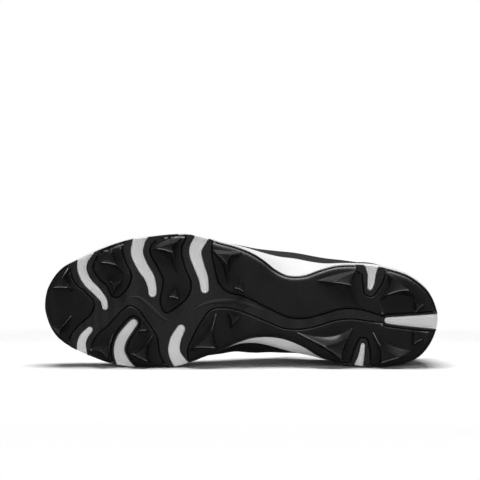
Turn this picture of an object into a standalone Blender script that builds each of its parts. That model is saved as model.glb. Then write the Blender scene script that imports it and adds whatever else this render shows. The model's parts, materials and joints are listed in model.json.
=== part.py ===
"""Baseball cleat for a left foot, lying on its medial side.

The shoe is modelled standing: X runs from the toe to the heel, Y to the medial side and Z up.
It is then laid down on its medial side. Sizes are in metres.
"""
import math
from collections import namedtuple

import bmesh
import bpy
import numpy as np
from mathutils import Matrix, Vector
from mathutils.geometry import interpolate_bezier

# Outsole
LENGTH = 0.298
BALL_WIDTH = 0.101
PLATE = 0.0022
PAD_RISE = 0.0009
PAD_MARGIN = 0.0012
STUD_HEIGHT = 0.0115
STUD_ROOT = 0.0015
STUD_TIP = 0.5
STUD_TIP_WAIST = 0.65
STUD_WAIST = 0.5
STUD_NOSE = 0.0011

# Side view of the sole
TOE_SPRING = 0.015
SPRING_START = 0.30
ARCH_RISE = 0.003
ARCH_FROM = 0.42
ARCH_TO = 0.76
FOREFOOT_FOAM = 0.009
HEEL_FOAM = 0.017
FOAM_STEP_FROM = 0.30
FOAM_STEP_TO = 0.78
WAIST_FLARE = 0.0133
FOAM_ROUND = 0.0008

# Upper, insole, tongue and lace
WALL = 0.002
OVERLAY = 0.0009
WELT = 0.0010
COLLAR_HEIGHT = 0.074
INSOLE = 0.003
TONGUE = 0.004
TONGUE_FLAP = 0.030
TONGUE_CURL = math.radians(22)
LACE = 0.0030
EYELET_ROWS = 6
EYELET_INSET = 0.12
LACE_OFFSET = 0.0012
LACE_CROSSING = (0, 0.25, 0.5, 0.75, 1)

# Clearances
GAP = 0.0003
LACE_GAP = 0.0006
LACE_LIFT = WALL + OVERLAY + LACE_GAP + LACE / 2
LINING_GAP = 0.0006
INSOLE_GAP = 0.0016
SNAP = 0.0002
WELD = 0.000005
SLICE = 0.011
OUTLINE_STEP = 0.0055
RESTING_LEAN = math.radians(4)
FOOT_STEP = 0.002
PROBE = 0.02

Edge = namedtuple("Edge", "along lateral medial")
Flare = namedtuple("Flare", "along lateral medial")
Level = namedtuple("Level", "height share inset")
Notch = namedtuple("Notch", "along across width")
Rib = namedtuple("Rib", "foot top height gape shift lateral_out medial_out rise spread drop")
Zone = namedtuple("Zone", "name first last low high")


def hundredths(kind, rows):
    """Rows of a table, written in hundredths, as shares."""
    return [kind(*[value / 100 for value in row]) for row in rows]


# The sole's edge, in hundredths: along is of LENGTH from the toe, the others are of BALL_WIDTH
SOLE_EDGE = hundredths(Edge, (
    (0.5, 13.5, 6), (1.5, 20, 13.5), (3, 26.5, 20), (5, 32, 25), (8, 36.5, 30), (12, 42, 35),
    (17, 48, 40), (22, 52.5, 42.5), (28, 55, 43), (33, 56.5, 42.5), (37, 56.3, 39.5),
    (41, 54, 35), (45, 50.5, 30.5), (49, 47.3, 25), (53, 42.5, 21.3), (56, 37, 20.5),
    (59, 30, 21), (62, 26, 23), (66, 26, 28), (70, 30, 35), (74, 33.3, 39), (79, 34, 41.3),
    (84, 33, 42.5), (88, 30.5, 42), (92, 26.5, 39.5), (95, 21, 35.3), (97.5, 14, 27.5),
    (99.2, 4.5, 17.5)))
TOE_TIP = (0.0, 0.01)
HEEL_TIP = (1.0, -0.07)

# How far the foam's top edge stands out past the plate, as shares of WAIST_FLARE
FLARES = hundredths(Flare, (
    (0, 6, 4), (20, 7, 2), (40, 4, 2), (47, 6, 6), (52, 16, 24), (56, 42, 42), (60, 85, 60),
    (63, 100, 62), (66, 84, 48), (70, 44, 14), (75, 14, 4), (84, 10, 4), (92, 13, 6), (100, 15, 10)))

# The foam's side from plate to upper: share of its height, share of the flare, and inset in FOAM_ROUNDs
FOAM_LEVELS = (
    Level(0, 0, 1), Level(0.1, 0.06, 0), Level(0.45, 0.5, 0), Level(0.9, 1, 0), Level(1, 1, 1))

# Notches at the sole's edge, from mouth to tip, in hundredths: width is of BALL_WIDTH, as across is
NOTCHES = {
    "lateral_toe": ((12, 52, 13), (11.3, 45, 10.5), (10, 37.5, 8.3), (9.7, 30, 7.5), (11.2, 20.5, 7),
                    (13.6, 13.5, 6.5), (15.4, 6.5, 5.4), (15.7, 2, 4.8)),
    "lateral_ball": ((25.2, 60, 14), (24.4, 52, 9.5), (23.8, 43, 9.5), (25.1, 33, 8.8), (27, 24, 8),
                     (27.7, 16.5, 6.8), (27.8, 12.5, 6.4)),
    "lateral_shank": ((41.5, 62, 14), (40, 53, 10), (38.6, 44.5, 9.8), (39.5, 33, 8.4), (40.6, 24, 7.6),
                      (41, 15.5, 6.4)),
    "medial_toe": ((9.5, -40, 10), (9.7, -31, 8), (9.6, -25.5, 7.2), (10.2, -20.5, 6.5), (11.8, -15, 4.8)),
    "medial_ball": ((22, -48, 14), (20.3, -39.5, 10), (19.3, -31, 8.6), (19.8, -23, 8.2),
                    (21.8, -14, 7.2), (23, -9.8, 6.3)),
    "medial_shank": ((36.8, -48, 14), (34.8, -40, 10.5), (33.3, -31.5, 9.3), (33.6, -22.5, 8.5),
                     (35, -14, 6.6)),
    "lateral_heel": ((83.2, 40, 17), (83.2, 32.5, 10), (83.2, 26.5, 6.4), (83, 20, 5.6), (82.8, 17, 4.5)),
    "medial_heel": ((80, -48, 9.5), (80, -41, 6.8), (80.5, -35.5, 5), (81, -26, 3.4)),
    "heel_centre": ((103, -8.4, 13), (99, -8.4, 11.4), (93.5, -8.2, 8.7), (88.5, -7.8, 6), (87.2, -7.6, 5)),
}

# Low bays in the pads round the two heel notches
BAYS = {
    "lateral_heel_bay": ((83.2, 42, 28), (83.2, 34, 23.5), (83.6, 28, 17), (83.2, 19.5, 12.5), (82.8, 15, 8.5)),
    "medial_heel_bay": ((80, -50, 16), (80.3, -42, 14), (80.8, -30, 11), (81, -24.5, 7)),
}

# Raised pads: the smooth inner edge, and corners past the sole's edge; along and across in hundredths
PADS = {
    "toe": (((6.8, 45), (6.8, 30), (8.2, 20), (11, 12.8), (13.2, 4), (12.3, -3.5), (8.9, -12.8),
             (6.9, -21), (6.8, -40)), ((-4, -40), (-4, 45))),
    "lateral_front": (((20.7, 50), (16.6, 46.2), (14, 42), (12.4, 31), (13.6, 24), (16.1, 17),
                       (17.7, 9), (19.2, 9), (21.9, 17.3), (22.7, 25.6), (21.3, 35.3), (20.3, 47)), ()),
    "lateral_ball": (((36.2, 55.6), (31.9, 54.5), (28, 51), (26.9, 43.5), (28.6, 33), (30.2, 22),
                      (29.6, 4), (31, -2.5), (34, 1.5), (37, 10), (37.8, 19), (36.2, 32), (35.3, 45)), ()),
    "lateral_rear": (((44.5, 60), (42.6, 47), (43.3, 31), (44.5, 19), (46.7, 12.8), (50.3, 10),
                      (57.9, -0.8), (62, -6), (66, -7), (70.2, -4.4), (75.3, 0), (79, 0.4), (83, -2.3),
                      (88, -7.2)), ((104, -8.2), (104, 60))),
    "medial_ball": (((11.6, -48), (12, -28), (13.3, -19.5), (16.6, -10.5), (19.6, -0.8), (22.1, 3.8),
                     (24.2, 0.8), (26.8, -9), (29.1, -19.5), (29.8, -31.6), (31.2, -48)), ()),
    "medial_rear": (((38, -50), (36.5, -30), (37.8, -20), (40.3, -6.8), (42.3, 0.4), (45.2, 2.3),
                     (48.7, 1), (56.9, -8.3), (61, -13), (65, -13.8), (69, -11.7), (74, -7.1),
                     (78.3, -6), (83.4, -8), (88, -8.8)), ((104, -9), (104, -50))),
}

# Studs by their three corners, along and across in hundredths
STUDS = {
    "stud_01": ((6.1, 31.5), (1.9, 15), (7.7, 13.5)),
    "stud_02": ((7.1, -4.5), (1.7, -12.5), (3.7, -20)),
    "stud_03": ((17.4, 45.5), (13.8, 35.3), (20.9, 26.3)),
    "stud_04": ((16.1, 24), (20.3, 23.3), (18, 10.5)),
    "stud_05": ((27.3, 46), (35.2, 54.5), (34.2, 27)),
    "stud_06": ((33.8, 19.5), (31.4, 9.5), (34.8, 6.5)),
    "stud_07": ((42.8, 45), (50.5, 43), (46.9, 18)),
    "stud_08": ((50.5, 23.5), (48, 17.3), (51.1, 12)),
    "stud_09": ((18, -17.3), (12.2, -29), (16.5, -37.5)),
    "stud_10": ((28, -18.3), (21.8, -32.5), (27.3, -40.5)),
    "stud_11": ((25.3, -6), (23.9, -17.3), (27.3, -16.3)),
    "stud_12": ((44, -2.3), (36.9, -30), (44.4, -29)),
    "stud_13": ((46.7, -1.5), (50.4, -4.5), (47.4, -13.8)),
    "stud_14": ((79.2, 30), (69, 21.8), (79.8, 3)),
    "stud_15": ((87.2, 28.5), (85.2, 7.5), (94.5, 9)),
    "stud_16": ((93.6, 8), (97, 4), (93.9, -2.8)),
    "stud_17": ((64.2, -17.3), (78.6, -13.5), (75.9, -38.8)),
    "stud_18": ((83.3, -16.5), (94.1, -30.8), (85.2, -40.8)),
    "stud_19": ((93.4, -14), (96.6, -22), (93.2, -27.2)),
}

# Ribs of the last, each from its foot on the foam to the crest, the throat's edge or the collar.
# In hundredths: foot of the way round from toe to heel, top of LENGTH, height of COLLAR_HEIGHT,
# gape, shift and the outs of BALL_WIDTH, rise and drop of the rib's height, spread of its width
RIBS = hundredths(Rib, (
    (0, 10, 38, 0, 1.5, 1, 1, 72, 64, 0),
    (5.5, 11.5, 40, 0, 2, 1, 1, 72, 62, 0),
    (11, 14, 43, 0, 2, 1, 1, 70, 60, 0),
    (17, 18.5, 47, 0, 2.5, 1, 1, 68, 58, 0),
    (24, 24.5, 53, 0, 3, 1, 1, 66, 56, 0),
    (33, 32.5, 61, 0, 3.5, 1, 1, 62, 54, 0),
    (39, 38, 68, 11, 4, 3, 5, 60, 46, 5),
    (46, 44, 77, 13, 4, 8, 14, 56, 42, 9),
    (53, 50, 88, 14, 3.5, 12, 20, 54, 38, 13),
    (59, 56, 98, 15, 2, 18, 14, 52, 36, 17),
    (65, 62, 102, 20, 0, 19, 8, 50, 30, 24),
    (71, 70, 88, 27, -2.5, 15, 5, 48, 18, 34),
    (78, 79, 75, 30, -4.5, 8, 5, 46, 8, 40),
    (85, 88, 80, 26, -6, 4, 3, 45, 4, 42),
    (91, 94, 92, 18, -7, 3, 3, 45, 0, 42),
    (96, 97, 101, 10, -7, 3, 3, 45, 0, 42),
    (100, 98, 104, 0, -7, 3, 3, 45, 0, 42)))

# Steps of the upper's wall: from and to rib, and from and to share of the way up the rib
ZONES = (
    Zone("toe rand", -1, 4.5, -1, 0.22),
    Zone("eyestay", 5.25, 10.25, 0.76, 2),
    Zone("heel counter", 12.5, 17, -1, 0.5),
)
RIB_CUTS = (0, 0.5, 1, 1.5, 2, 2.5, 3, 3.5, 4, 4.45, 4.55, 5, 5.2, 5.3, 5.6, 6, 6.5, 7, 7.5, 8, 8.5, 9, 9.5,
            10, 10.2, 10.3, 11, 11.5, 12, 12.45, 12.55, 13, 13.5, 14, 14.5, 15, 15.5, 16)
HEIGHT_CUTS = (0, 0.1, 0.205, 0.235, 0.36, 0.485, 0.515, 0.63, 0.745, 0.775, 0.88, 1)
THROAT_RIB = 5
TOP_EYELET_RIB = 9.4
FIRST_EYELET_RIB = 5.9
TONGUE_RIBS = (5, 5.2, 5.3, 5.6, 6, 6.5, 7, 7.5, 8, 8.5, 9, 9.5)
TONGUE_WRAP = (0.775, 0.88, 1)
FLAP_WIDTHS = (0.72, 0.66, 0.66, 0.6)
CROSS_STEPS = 4

# Colour, roughness and metallic of each finish
FINISHES = {
    "black_plastic": ((0.012, 0.012, 0.013), 0.28, 0.0),
    "white_foam": ((0.72, 0.73, 0.74), 0.65, 0.0),
    "black_mesh": ((0.016, 0.016, 0.018), 0.85, 0.0),
    "black_lining": ((0.02, 0.02, 0.022), 0.9, 0.0),
    "black_lace": ((0.022, 0.022, 0.024), 0.8, 0.0),
}


def plan_point(along, across):
    """A point of the plan from hundredths of the length and of the ball's width."""
    return Vector((along * LENGTH / 100, -across * BALL_WIDTH / 100))


def smooth_line(points, step, closed=False):
    """Points about a step apart on a smooth curve through the given ones."""
    points = [Vector(point) for point in points]
    count = len(points)

    def heading(i):
        before = points[(i - 1) % count] if closed or i > 0 else points[i]
        after = points[(i + 1) % count] if closed or i < count - 1 else points[i]
        return ((points[i] - before).normalized() + (after - points[i]).normalized()).normalized()

    line = []
    for i in range(count if closed else count - 1):
        j = (i + 1) % count
        start, end = points[i], points[j]
        span = (end - start).length
        cuts = max(1, round(span / step))
        bezier = interpolate_bezier(start.to_3d(), (start + heading(i) * span / 3).to_3d(),
                                    (end - heading(j) * span / 3).to_3d(), end.to_3d(), cuts + 1)
        line += [point.to_2d() for point in bezier[:-1]]
    return line if closed else line + [points[-1]]


def outward_normals(loop):
    """The outward normal at each point of a loop that runs counter-clockwise."""
    count = len(loop)
    normals = []
    for i in range(count):
        run = loop[(i + 1) % count] - loop[i - 1]
        normals.append(Vector((run.y, -run.x)).normalized())
    return normals


def grown(loop, distance):
    """The loop moved out by a distance, or in where it is negative."""
    return [point + normal * distance for point, normal in zip(loop, outward_normals(loop))]


def sole_loop(step=OUTLINE_STEP):
    """The sole's edge, from the toe along the lateral side to the heel and back."""
    lateral = [plan_point(row.along * 100, row.lateral * 100) for row in SOLE_EDGE]
    medial = [plan_point(row.along * 100, -row.medial * 100) for row in reversed(SOLE_EDGE)]
    toe = plan_point(TOE_TIP[0] * 100, TOE_TIP[1] * 100)
    heel = plan_point(HEEL_TIP[0] * 100, HEEL_TIP[1] * 100)
    return smooth_line([toe] + lateral + [heel] + medial, step, closed=True)


def flare_at(point):
    """How far the foam's top edge stands out at a point of the sole's edge."""
    line = smooth_line([(row.along, row.medial if point.y > 0 else row.lateral) for row in FLARES], 0.01)
    share = np.interp(point.x / LENGTH, [spot.x for spot in line], [spot.y for spot in line])
    return share * WAIST_FLARE


def foam_loop(step=OUTLINE_STEP):
    """The foam's top edge, where the upper stands."""
    loop = sole_loop(step)
    return [point + normal * flare_at(point) for point, normal in zip(loop, outward_normals(loop))]


def eased(value):
    """A smooth step from 0 to 1."""
    value = min(max(value, 0.0), 1.0)
    return value * value * (3 - 2 * value)


def rise(x):
    """Toe spring and arch: how far the sole is bent up at a distance from the toe."""
    along = x / LENGTH
    spring = max(0.0, 1 - along / SPRING_START) ** 2
    arch = math.sin(math.pi * min(max((along - ARCH_FROM) / (ARCH_TO - ARCH_FROM), 0), 1)) ** 2
    return TOE_SPRING * spring + ARCH_RISE * arch


def foam_height(x):
    """Thickness of the foam at a distance from the toe."""
    share = eased((x / LENGTH - FOAM_STEP_FROM) / (FOAM_STEP_TO - FOAM_STEP_FROM))
    return FOREFOOT_FOAM + (HEEL_FOAM - FOREFOOT_FOAM) * share


def plate_top(x):
    """Height of the plate's top face."""
    return rise(x) + STUD_HEIGHT + PLATE


def deck(x):
    """Height of the foam's top face."""
    return plate_top(x) + GAP + foam_height(x)


def new_object(name, bm, collection, closed=True):
    """A mesh object made from a bmesh, which is freed. An open sheet keeps the way its faces point."""
    if closed:
        bmesh.ops.recalc_face_normals(bm, faces=bm.faces)
    mesh = bpy.data.meshes.new(name)
    bm.to_mesh(mesh)
    bm.free()
    piece = bpy.data.objects.new(name, mesh)
    collection.objects.link(piece)
    return piece


def add_stack(bm, rings):
    """Adds a closed body through rings of equally many points."""
    loops = [[bm.verts.new(point) for point in ring] for ring in rings]
    count = len(rings[0])
    for low, high in zip(loops, loops[1:]):
        for i in range(count):
            j = (i + 1) % count
            bm.faces.new((low[i], low[j], high[j], high[i]))
    bm.faces.new(loops[0][::-1])
    bm.faces.new(loops[-1])


def add_prism(bm, loop, low, high):
    """Adds an upright body over a plan outline."""
    add_stack(bm, [[(point.x, point.y, z) for point in loop] for z in (low, high)])


def slice_across(bm, spacing=SLICE):
    """Cuts the faces across the sole, so that they can bend with it."""
    for i in range(1, math.ceil(LENGTH / spacing)):
        geometry = bm.verts[:] + bm.edges[:] + bm.faces[:]
        bmesh.ops.bisect_plane(bm, geom=geometry, dist=SNAP, plane_co=(i * spacing, 0, 0), plane_no=(1, 0, 0))


def strip_outline(rows):
    """Outline of a strip with a round tip, from rows of centre line and width."""
    rows = [Notch(*row) for row in rows]
    centre = [plan_point(row.along, row.across) for row in rows]
    line = smooth_line(centre, OUTLINE_STEP)
    ways = np.cumsum([0] + [(b - a).length for a, b in zip(centre, centre[1:])])
    widths = [row.width * BALL_WIDTH / 100 for row in rows]
    path = np.cumsum([0] + [(b - a).length for a, b in zip(line, line[1:])])
    path *= ways[-1] / path[-1]
    left, right = [], []
    for i, point in enumerate(line):
        run = (line[min(i + 1, len(line) - 1)] - line[max(i - 1, 0)]).normalized()
        half = np.interp(path[i], ways, widths) / 2
        side = Vector((run.y, -run.x)) * half
        left.append(point - side)
        right.append(point + side)
    end = line[-1]
    radius = left[-1] - end
    tip = [end + Matrix.Rotation(-angle, 2) @ radius for angle in (math.pi / 4, math.pi / 2, math.pi * 3 / 4)]
    return left + tip + right[::-1]


def combine(body, tool, operation):
    """Joins or cuts a body with a tool, and keeps the result as the body's mesh."""
    modifier = body.modifiers.new(operation.title(), "BOOLEAN")
    modifier.operation = operation
    modifier.object = tool
    graph = bpy.context.evaluated_depsgraph_get()
    mesh = bpy.data.meshes.new_from_object(body.evaluated_get(graph))
    body.modifiers.clear()
    body.data = mesh


def cleaned(piece, bend=None):
    """Bends a piece, drops its needle faces and cuts the rest into triangles."""
    bm = bmesh.new()
    bm.from_mesh(piece.data)
    if bend:
        slice_across(bm)
        for vert in bm.verts:
            vert.co.z = bend(vert.co)
    bmesh.ops.remove_doubles(bm, verts=bm.verts, dist=WELD)
    bmesh.ops.dissolve_degenerate(bm, edges=bm.edges, dist=WELD)
    bmesh.ops.triangulate(bm, faces=bm.faces)
    bm.to_mesh(piece.data)
    bm.free()


def make_studs(collection):
    """All studs as one tool: three ridges that fall from a small flat tip to the corners."""
    bm = bmesh.new()
    for corners in STUDS.values():
        corners = [plan_point(*corner) for corner in corners]
        middle = sum(corners, Vector((0, 0))) / 3
        if (corners[1] - corners[0]).cross(corners[2] - corners[0]) < 0:
            corners.reverse()
        foot, tip = [], []
        for i, corner in enumerate(corners):
            nearest, following = corners[i - 1], corners[(i + 1) % 3]
            for other in (nearest, following):
                blunt = corner + (other - corner).normalized() * STUD_NOSE
                foot.append(blunt)
                tip.append(middle + (blunt - middle) * STUD_TIP)
            hollow = (corner + following) / 2
            hollow = middle + (hollow - middle) * STUD_WAIST
            foot.append(hollow)
            tip.append(middle + (hollow - middle) * STUD_TIP_WAIST)
        floor = rise(middle.x)
        root = STUD_HEIGHT - PAD_RISE
        rings = [[(point.x, point.y, floor) for point in tip],
                 [(point.x, point.y, rise(point.x) + root) for point in foot],
                 [(point.x, point.y, rise(point.x) + root + STUD_ROOT) for point in foot]]
        add_stack(bm, rings)
    return new_object("studs", bm, collection)


def make_strips(name, table, collection):
    """A cutter for all strips of a table, taller than the sole."""
    bm = bmesh.new()
    for rows in table.values():
        add_prism(bm, strip_outline(rows), 0, STUD_HEIGHT + PLATE * 3)
    return new_object(name, bm, collection)


def make_pads(cutters):
    """The raised pads, trimmed to the sole's edge and cut by the bays."""
    bm = bmesh.new()
    for inner, outer in PADS.values():
        loop = smooth_line([plan_point(*point) for point in inner], OUTLINE_STEP, closed=not outer)
        loop += [plan_point(*point) for point in outer]
        add_prism(bm, loop, STUD_HEIGHT - PAD_RISE, STUD_HEIGHT + PLATE / 2)
    pads = new_object("pads", bm, cutters)

    bm = bmesh.new()
    add_prism(bm, grown(sole_loop(), -PAD_MARGIN), 0, STUD_HEIGHT + PLATE * 2)
    combine(pads, new_object("pad_trim", bm, cutters), "INTERSECT")
    combine(pads, make_strips("bays", BAYS, cutters), "DIFFERENCE")
    return pads


def make_outsole(parts, cutters):
    """Plate with its raised pads and studs, cut by the notches."""
    bm = bmesh.new()
    add_prism(bm, sole_loop(), STUD_HEIGHT, STUD_HEIGHT + PLATE)
    outsole = new_object("outsole", bm, parts)
    combine(outsole, make_pads(cutters), "UNION")
    combine(outsole, make_strips("notches", NOTCHES, cutters), "DIFFERENCE")
    cleaned(outsole, lambda co: co.z + rise(co.x))
    combine(outsole, make_studs(cutters), "UNION")
    cleaned(outsole)
    return outsole


def make_midsole(parts):
    """Foam between plate and upper, with a side that slopes out at the waist."""
    low = sole_loop()
    high = foam_loop()
    rings = []
    for level in FOAM_LEVELS:
        ring = grown([a.lerp(b, level.share) for a, b in zip(low, high)], -level.inset * FOAM_ROUND)
        rings.append([(point.x, point.y, level.height) for point in ring])
    bm = bmesh.new()
    add_stack(bm, rings)
    midsole = new_object("midsole", bm, parts)
    cleaned(midsole, lambda co: plate_top(co.x) + GAP + co.z * foam_height(co.x))
    return midsole


def feather_half(side):
    """The last's foot line on one side as points and outward normals, from toe to heel."""
    loop = foam_loop(FOOT_STEP)
    inset = WALL + OVERLAY + WELT
    inner = grown(loop, -inset)
    normals = outward_normals(inner)
    heel = max(range(len(inner)), key=lambda i: inner[i].x)
    pairs = list(zip(inner, normals))
    return pairs[:heel + 1] if side < 0 else [pairs[0]] + pairs[:heel - 1:-1]


def rib_row(number):
    """The rib table between its rows, on a smooth curve through each column."""
    low = min(int(number), len(RIBS) - 2)
    share = number - low
    values = []
    for column in range(len(RIBS[0])):
        a, b, c, d = [RIBS[min(max(low + k, 0), len(RIBS) - 1)][column] for k in (-1, 0, 1, 2)]
        slope_b, slope_c = (c - a) / 2, (d - b) / 2
        cube, square = share ** 3, share ** 2
        values.append(b * (2 * cube - 3 * square + 1) + slope_b * (cube - 2 * square + share)
                      + c * (3 * square - 2 * cube) + slope_c * (cube - square))
    row = Rib(*values)
    return row._replace(gape=max(0.0, row.gape) if number > THROAT_RIB else 0.0)


def wall_at(number, height):
    """Thickness of the upper's wall at a rib and a share of its height."""
    raised = any(zone.first < number < zone.last and zone.low < height < zone.high for zone in ZONES)
    return WALL + OVERLAY if raised else WALL


class Last:
    """The shape of the foot inside the shoe, as ribs on both sides."""

    def __init__(self):
        self.feet = {side: feather_half(side) for side in (-1, 1)}
        self.ways = {}
        for side, pairs in self.feet.items():
            steps = [(b[0] - a[0]).length for a, b in zip(pairs, pairs[1:])]
            way = np.cumsum([0] + steps)
            self.ways[side] = way / way[-1]

    def foot(self, side, share):
        """Point and outward normal of the foot line."""
        pairs, ways = self.feet[side], self.ways[side]
        values = [np.interp(share, ways, [pair[k][axis] for pair in pairs]) for k in (0, 1) for axis in (0, 1)]
        return Vector(values[:2]), Vector(values[2:]).normalized()

    def top(self, side, row):
        """Upper end of a rib."""
        x = row.top * LENGTH
        y = -row.shift * BALL_WIDTH + side * row.gape * BALL_WIDTH
        return Vector((x, y, deck(x) + row.height * COLLAR_HEIGHT))

    def handles(self, side, number):
        """The four control points of a rib."""
        row = rib_row(number)
        plan, normal = self.foot(side, row.foot)
        out = (row.lateral_out if side < 0 else row.medial_out) * BALL_WIDTH
        height = row.height * COLLAR_HEIGHT
        climb = row.rise * height
        dip = wall_at(number, 0) * out / math.hypot(out, climb)
        seat = max(deck(plan.x), deck(plan.x + normal.x * wall_at(number, 0)))
        foot = Vector((plan.x, plan.y, seat + GAP + dip))
        top = self.top(side, row)
        lean = foot + Vector((normal.x * out, normal.y * out, climb))
        spread = Vector((foot.x - top.x, foot.y - top.y, 0)) * row.spread
        ahead, behind = rib_row(min(number + PROBE, len(RIBS) - 1)), rib_row(max(number - PROBE, 0))
        crest = self.top(side, ahead) - self.top(side, behind)
        if row.gape == 0 and number <= THROAT_RIB:
            spread.z = spread.x * crest.z / crest.x
        return foot, lean, top + spread - Vector((0, 0, row.drop * height)), top

    def point(self, side, number, height):
        """A point of the last at a rib and a share of the way up it."""
        a, b, c, d = self.handles(side, number)
        t, s = height, 1 - height
        return a * s ** 3 + b * 3 * t * s * s + c * 3 * t * t * s + d * t ** 3

    def normal(self, side, number, height):
        """Outward normal of the last."""
        low, high = max(height - PROBE, 0), min(height + PROBE, 1)
        up = self.point(side, number, high) - self.point(side, number, low)
        front, back = max(number - PROBE, 0), min(number + PROBE, len(RIBS) - 1)
        along = self.point(side, back, height) - self.point(side, front, height)
        return along.cross(up).normalized() * -side

    def across(self, number, share):
        """A point on the smooth bridge over the throat, from the lateral to the medial edge."""
        ends = [self.point(side, number, 1) for side in (-1, 1)]
        width = (ends[1] - ends[0]).length
        arms = []
        for side, end in zip((-1, 1), ends):
            run = (end - self.point(side, number, 1 - PROBE)).normalized()
            arms.append(end + run * width / 3)
        t, s = share, 1 - share
        return ends[0] * s ** 3 + arms[0] * 3 * t * s * s + arms[1] * 3 * t * t * s + ends[1] * t ** 3


def make_insole(parts):
    """Thin sheet on the foam, inside the upper's wall."""
    bm = bmesh.new()
    add_prism(bm, grown(foam_loop(), -(WALL + OVERLAY + WELT + INSOLE_GAP)), 0, 1)
    insole = new_object("insole", bm, parts)
    cleaned(insole, lambda co: deck(co.x) + GAP + co.z * INSOLE)
    return insole


def make_upper(parts, last):
    """One wall over the last, open at the collar, the throat and underneath."""
    bm = bmesh.new()
    weights = bm.verts.layers.deform.verify()
    full = WALL + OVERLAY
    for side in (-1, 1):
        grid = []
        for number in RIB_CUTS:
            line = []
            for height in HEIGHT_CUTS:
                vert = bm.verts.new(last.point(side, number, height))
                vert[weights][0] = wall_at(number, height) / full
                line.append(vert)
            grid.append(line)
        for near, far in zip(grid, grid[1:]):
            for i in range(len(HEIGHT_CUTS) - 1):
                corners = (near[i], far[i], far[i + 1], near[i + 1])
                bm.faces.new(corners if side < 0 else corners[::-1])
    bmesh.ops.remove_doubles(bm, verts=bm.verts, dist=WELD)
    upper = new_object("upper", bm, parts, closed=False)
    upper.vertex_groups.new(name="wall")
    wall = upper.modifiers.new("Wall", "SOLIDIFY")
    wall.thickness = full
    wall.offset = 1
    wall.vertex_group = "wall"
    return upper


def make_tongue(parts, last):
    """Padded sheet under the throat, with a free flap above the top eyelets."""
    sections = []
    for number in TONGUE_RIBS:
        lateral = [last.point(-1, number, h) - last.normal(-1, number, h) * LINING_GAP for h in TONGUE_WRAP]
        medial = [last.point(1, number, h) - last.normal(1, number, h) * LINING_GAP for h in TONGUE_WRAP]
        inward = Vector((0, 0, -LINING_GAP))
        middle = [last.across(number, i / CROSS_STEPS) + inward for i in range(1, CROSS_STEPS)]
        if rib_row(number).gape == 0:
            middle = [lateral[-1]] * (CROSS_STEPS - 1)
        sections.append(lateral + middle + medial[::-1])
    run = (sections[-1][4] - sections[-3][4]).normalized()
    base, move = sections[-1], Vector((0, 0, 0))
    turn = Matrix.Rotation(-TONGUE_CURL / len(FLAP_WIDTHS), 3, "Y")
    for width in FLAP_WIDTHS:
        run = turn @ run
        move += run * TONGUE_FLAP / len(FLAP_WIDTHS)
        middle = base[len(base) // 2]
        narrowed = [middle.lerp(point, width) for point in base]
        sections.append([point + move for point in narrowed])
    bm = bmesh.new()
    rows = [[bm.verts.new(point) for point in section] for section in sections]
    for near, far in zip(rows, rows[1:]):
        for i in range(len(near) - 1):
            bm.faces.new((near[i], far[i], far[i + 1], near[i + 1]))
    bmesh.ops.remove_doubles(bm, verts=bm.verts, dist=WELD)
    tongue = new_object("tongue", bm, parts, closed=False)
    pad = tongue.modifiers.new("Padding", "SOLIDIFY")
    pad.thickness = TONGUE
    pad.offset = -1
    return tongue


def lace_at_eyelet(last, number, side):
    """A point of the lace over an eyelet."""
    height = 1 - EYELET_INSET
    return last.point(side, number, height) + last.normal(side, number, height) * LACE_LIFT


def lace_over_throat(last, number, share):
    """A point of the lace over the throat, at a rib and a share of the way to the medial edge."""
    normal = (last.normal(-1, number, 1) * (1 - share) + last.normal(1, number, 1) * share).normalized()
    return last.across(number, share) + normal * LACE_LIFT


def make_lace(parts, last):
    """The lace's two halves, which cross over the throat and are joined where they cross."""
    step = (TOP_EYELET_RIB - FIRST_EYELET_RIB) / (EYELET_ROWS - 1)
    rows = [FIRST_EYELET_RIB + i * step for i in range(EYELET_ROWS)]
    halves = []
    for start in (-1, 1):
        side = start
        line = []
        if start < 0:
            line = [lace_at_eyelet(last, rows[0], 1)]
            line += [lace_over_throat(last, rows[0], 1 - share) for share in LACE_CROSSING]
        for low, high in zip(rows, rows[1:]):
            line.append(lace_at_eyelet(last, low, side))
            for share in LACE_CROSSING:
                number = low + (high - low) * (EYELET_INSET + share * (1 - 2 * EYELET_INSET))
                line.append(lace_over_throat(last, number, share if side < 0 else 1 - share))
            side = -side
        line.append(lace_at_eyelet(last, rows[-1], side))
        lift = Vector((0, 0, LACE_OFFSET if start > 0 else 0))
        halves.append(tube("laces" if start < 0 else "lace_half", [point + lift for point in line], LACE, parts))
    combine(halves[0], halves[1], "UNION")
    bpy.data.objects.remove(halves[1])
    cleaned(halves[0])
    return halves[0]


def tube(name, points, diameter, collection):
    """A round cord along the points, as a closed mesh."""
    curve = bpy.data.curves.new(name, "CURVE")
    curve.dimensions = "3D"
    curve.bevel_depth = diameter / 2
    curve.bevel_resolution = 1
    curve.use_fill_caps = True
    spline = curve.splines.new("POLY")
    spline.points.add(len(points) - 1)
    for target, point in zip(spline.points, points):
        target.co = (*point, 1)
    guide = bpy.data.objects.new(name + "_route", curve)
    collection.objects.link(guide)
    graph = bpy.context.evaluated_depsgraph_get()
    mesh = bpy.data.meshes.new_from_object(guide.evaluated_get(graph))
    bpy.data.objects.remove(guide)
    bm = bmesh.new()
    bm.from_mesh(mesh)
    bmesh.ops.remove_doubles(bm, verts=bm.verts, dist=WELD)
    return new_object(name, bm, collection)


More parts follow.
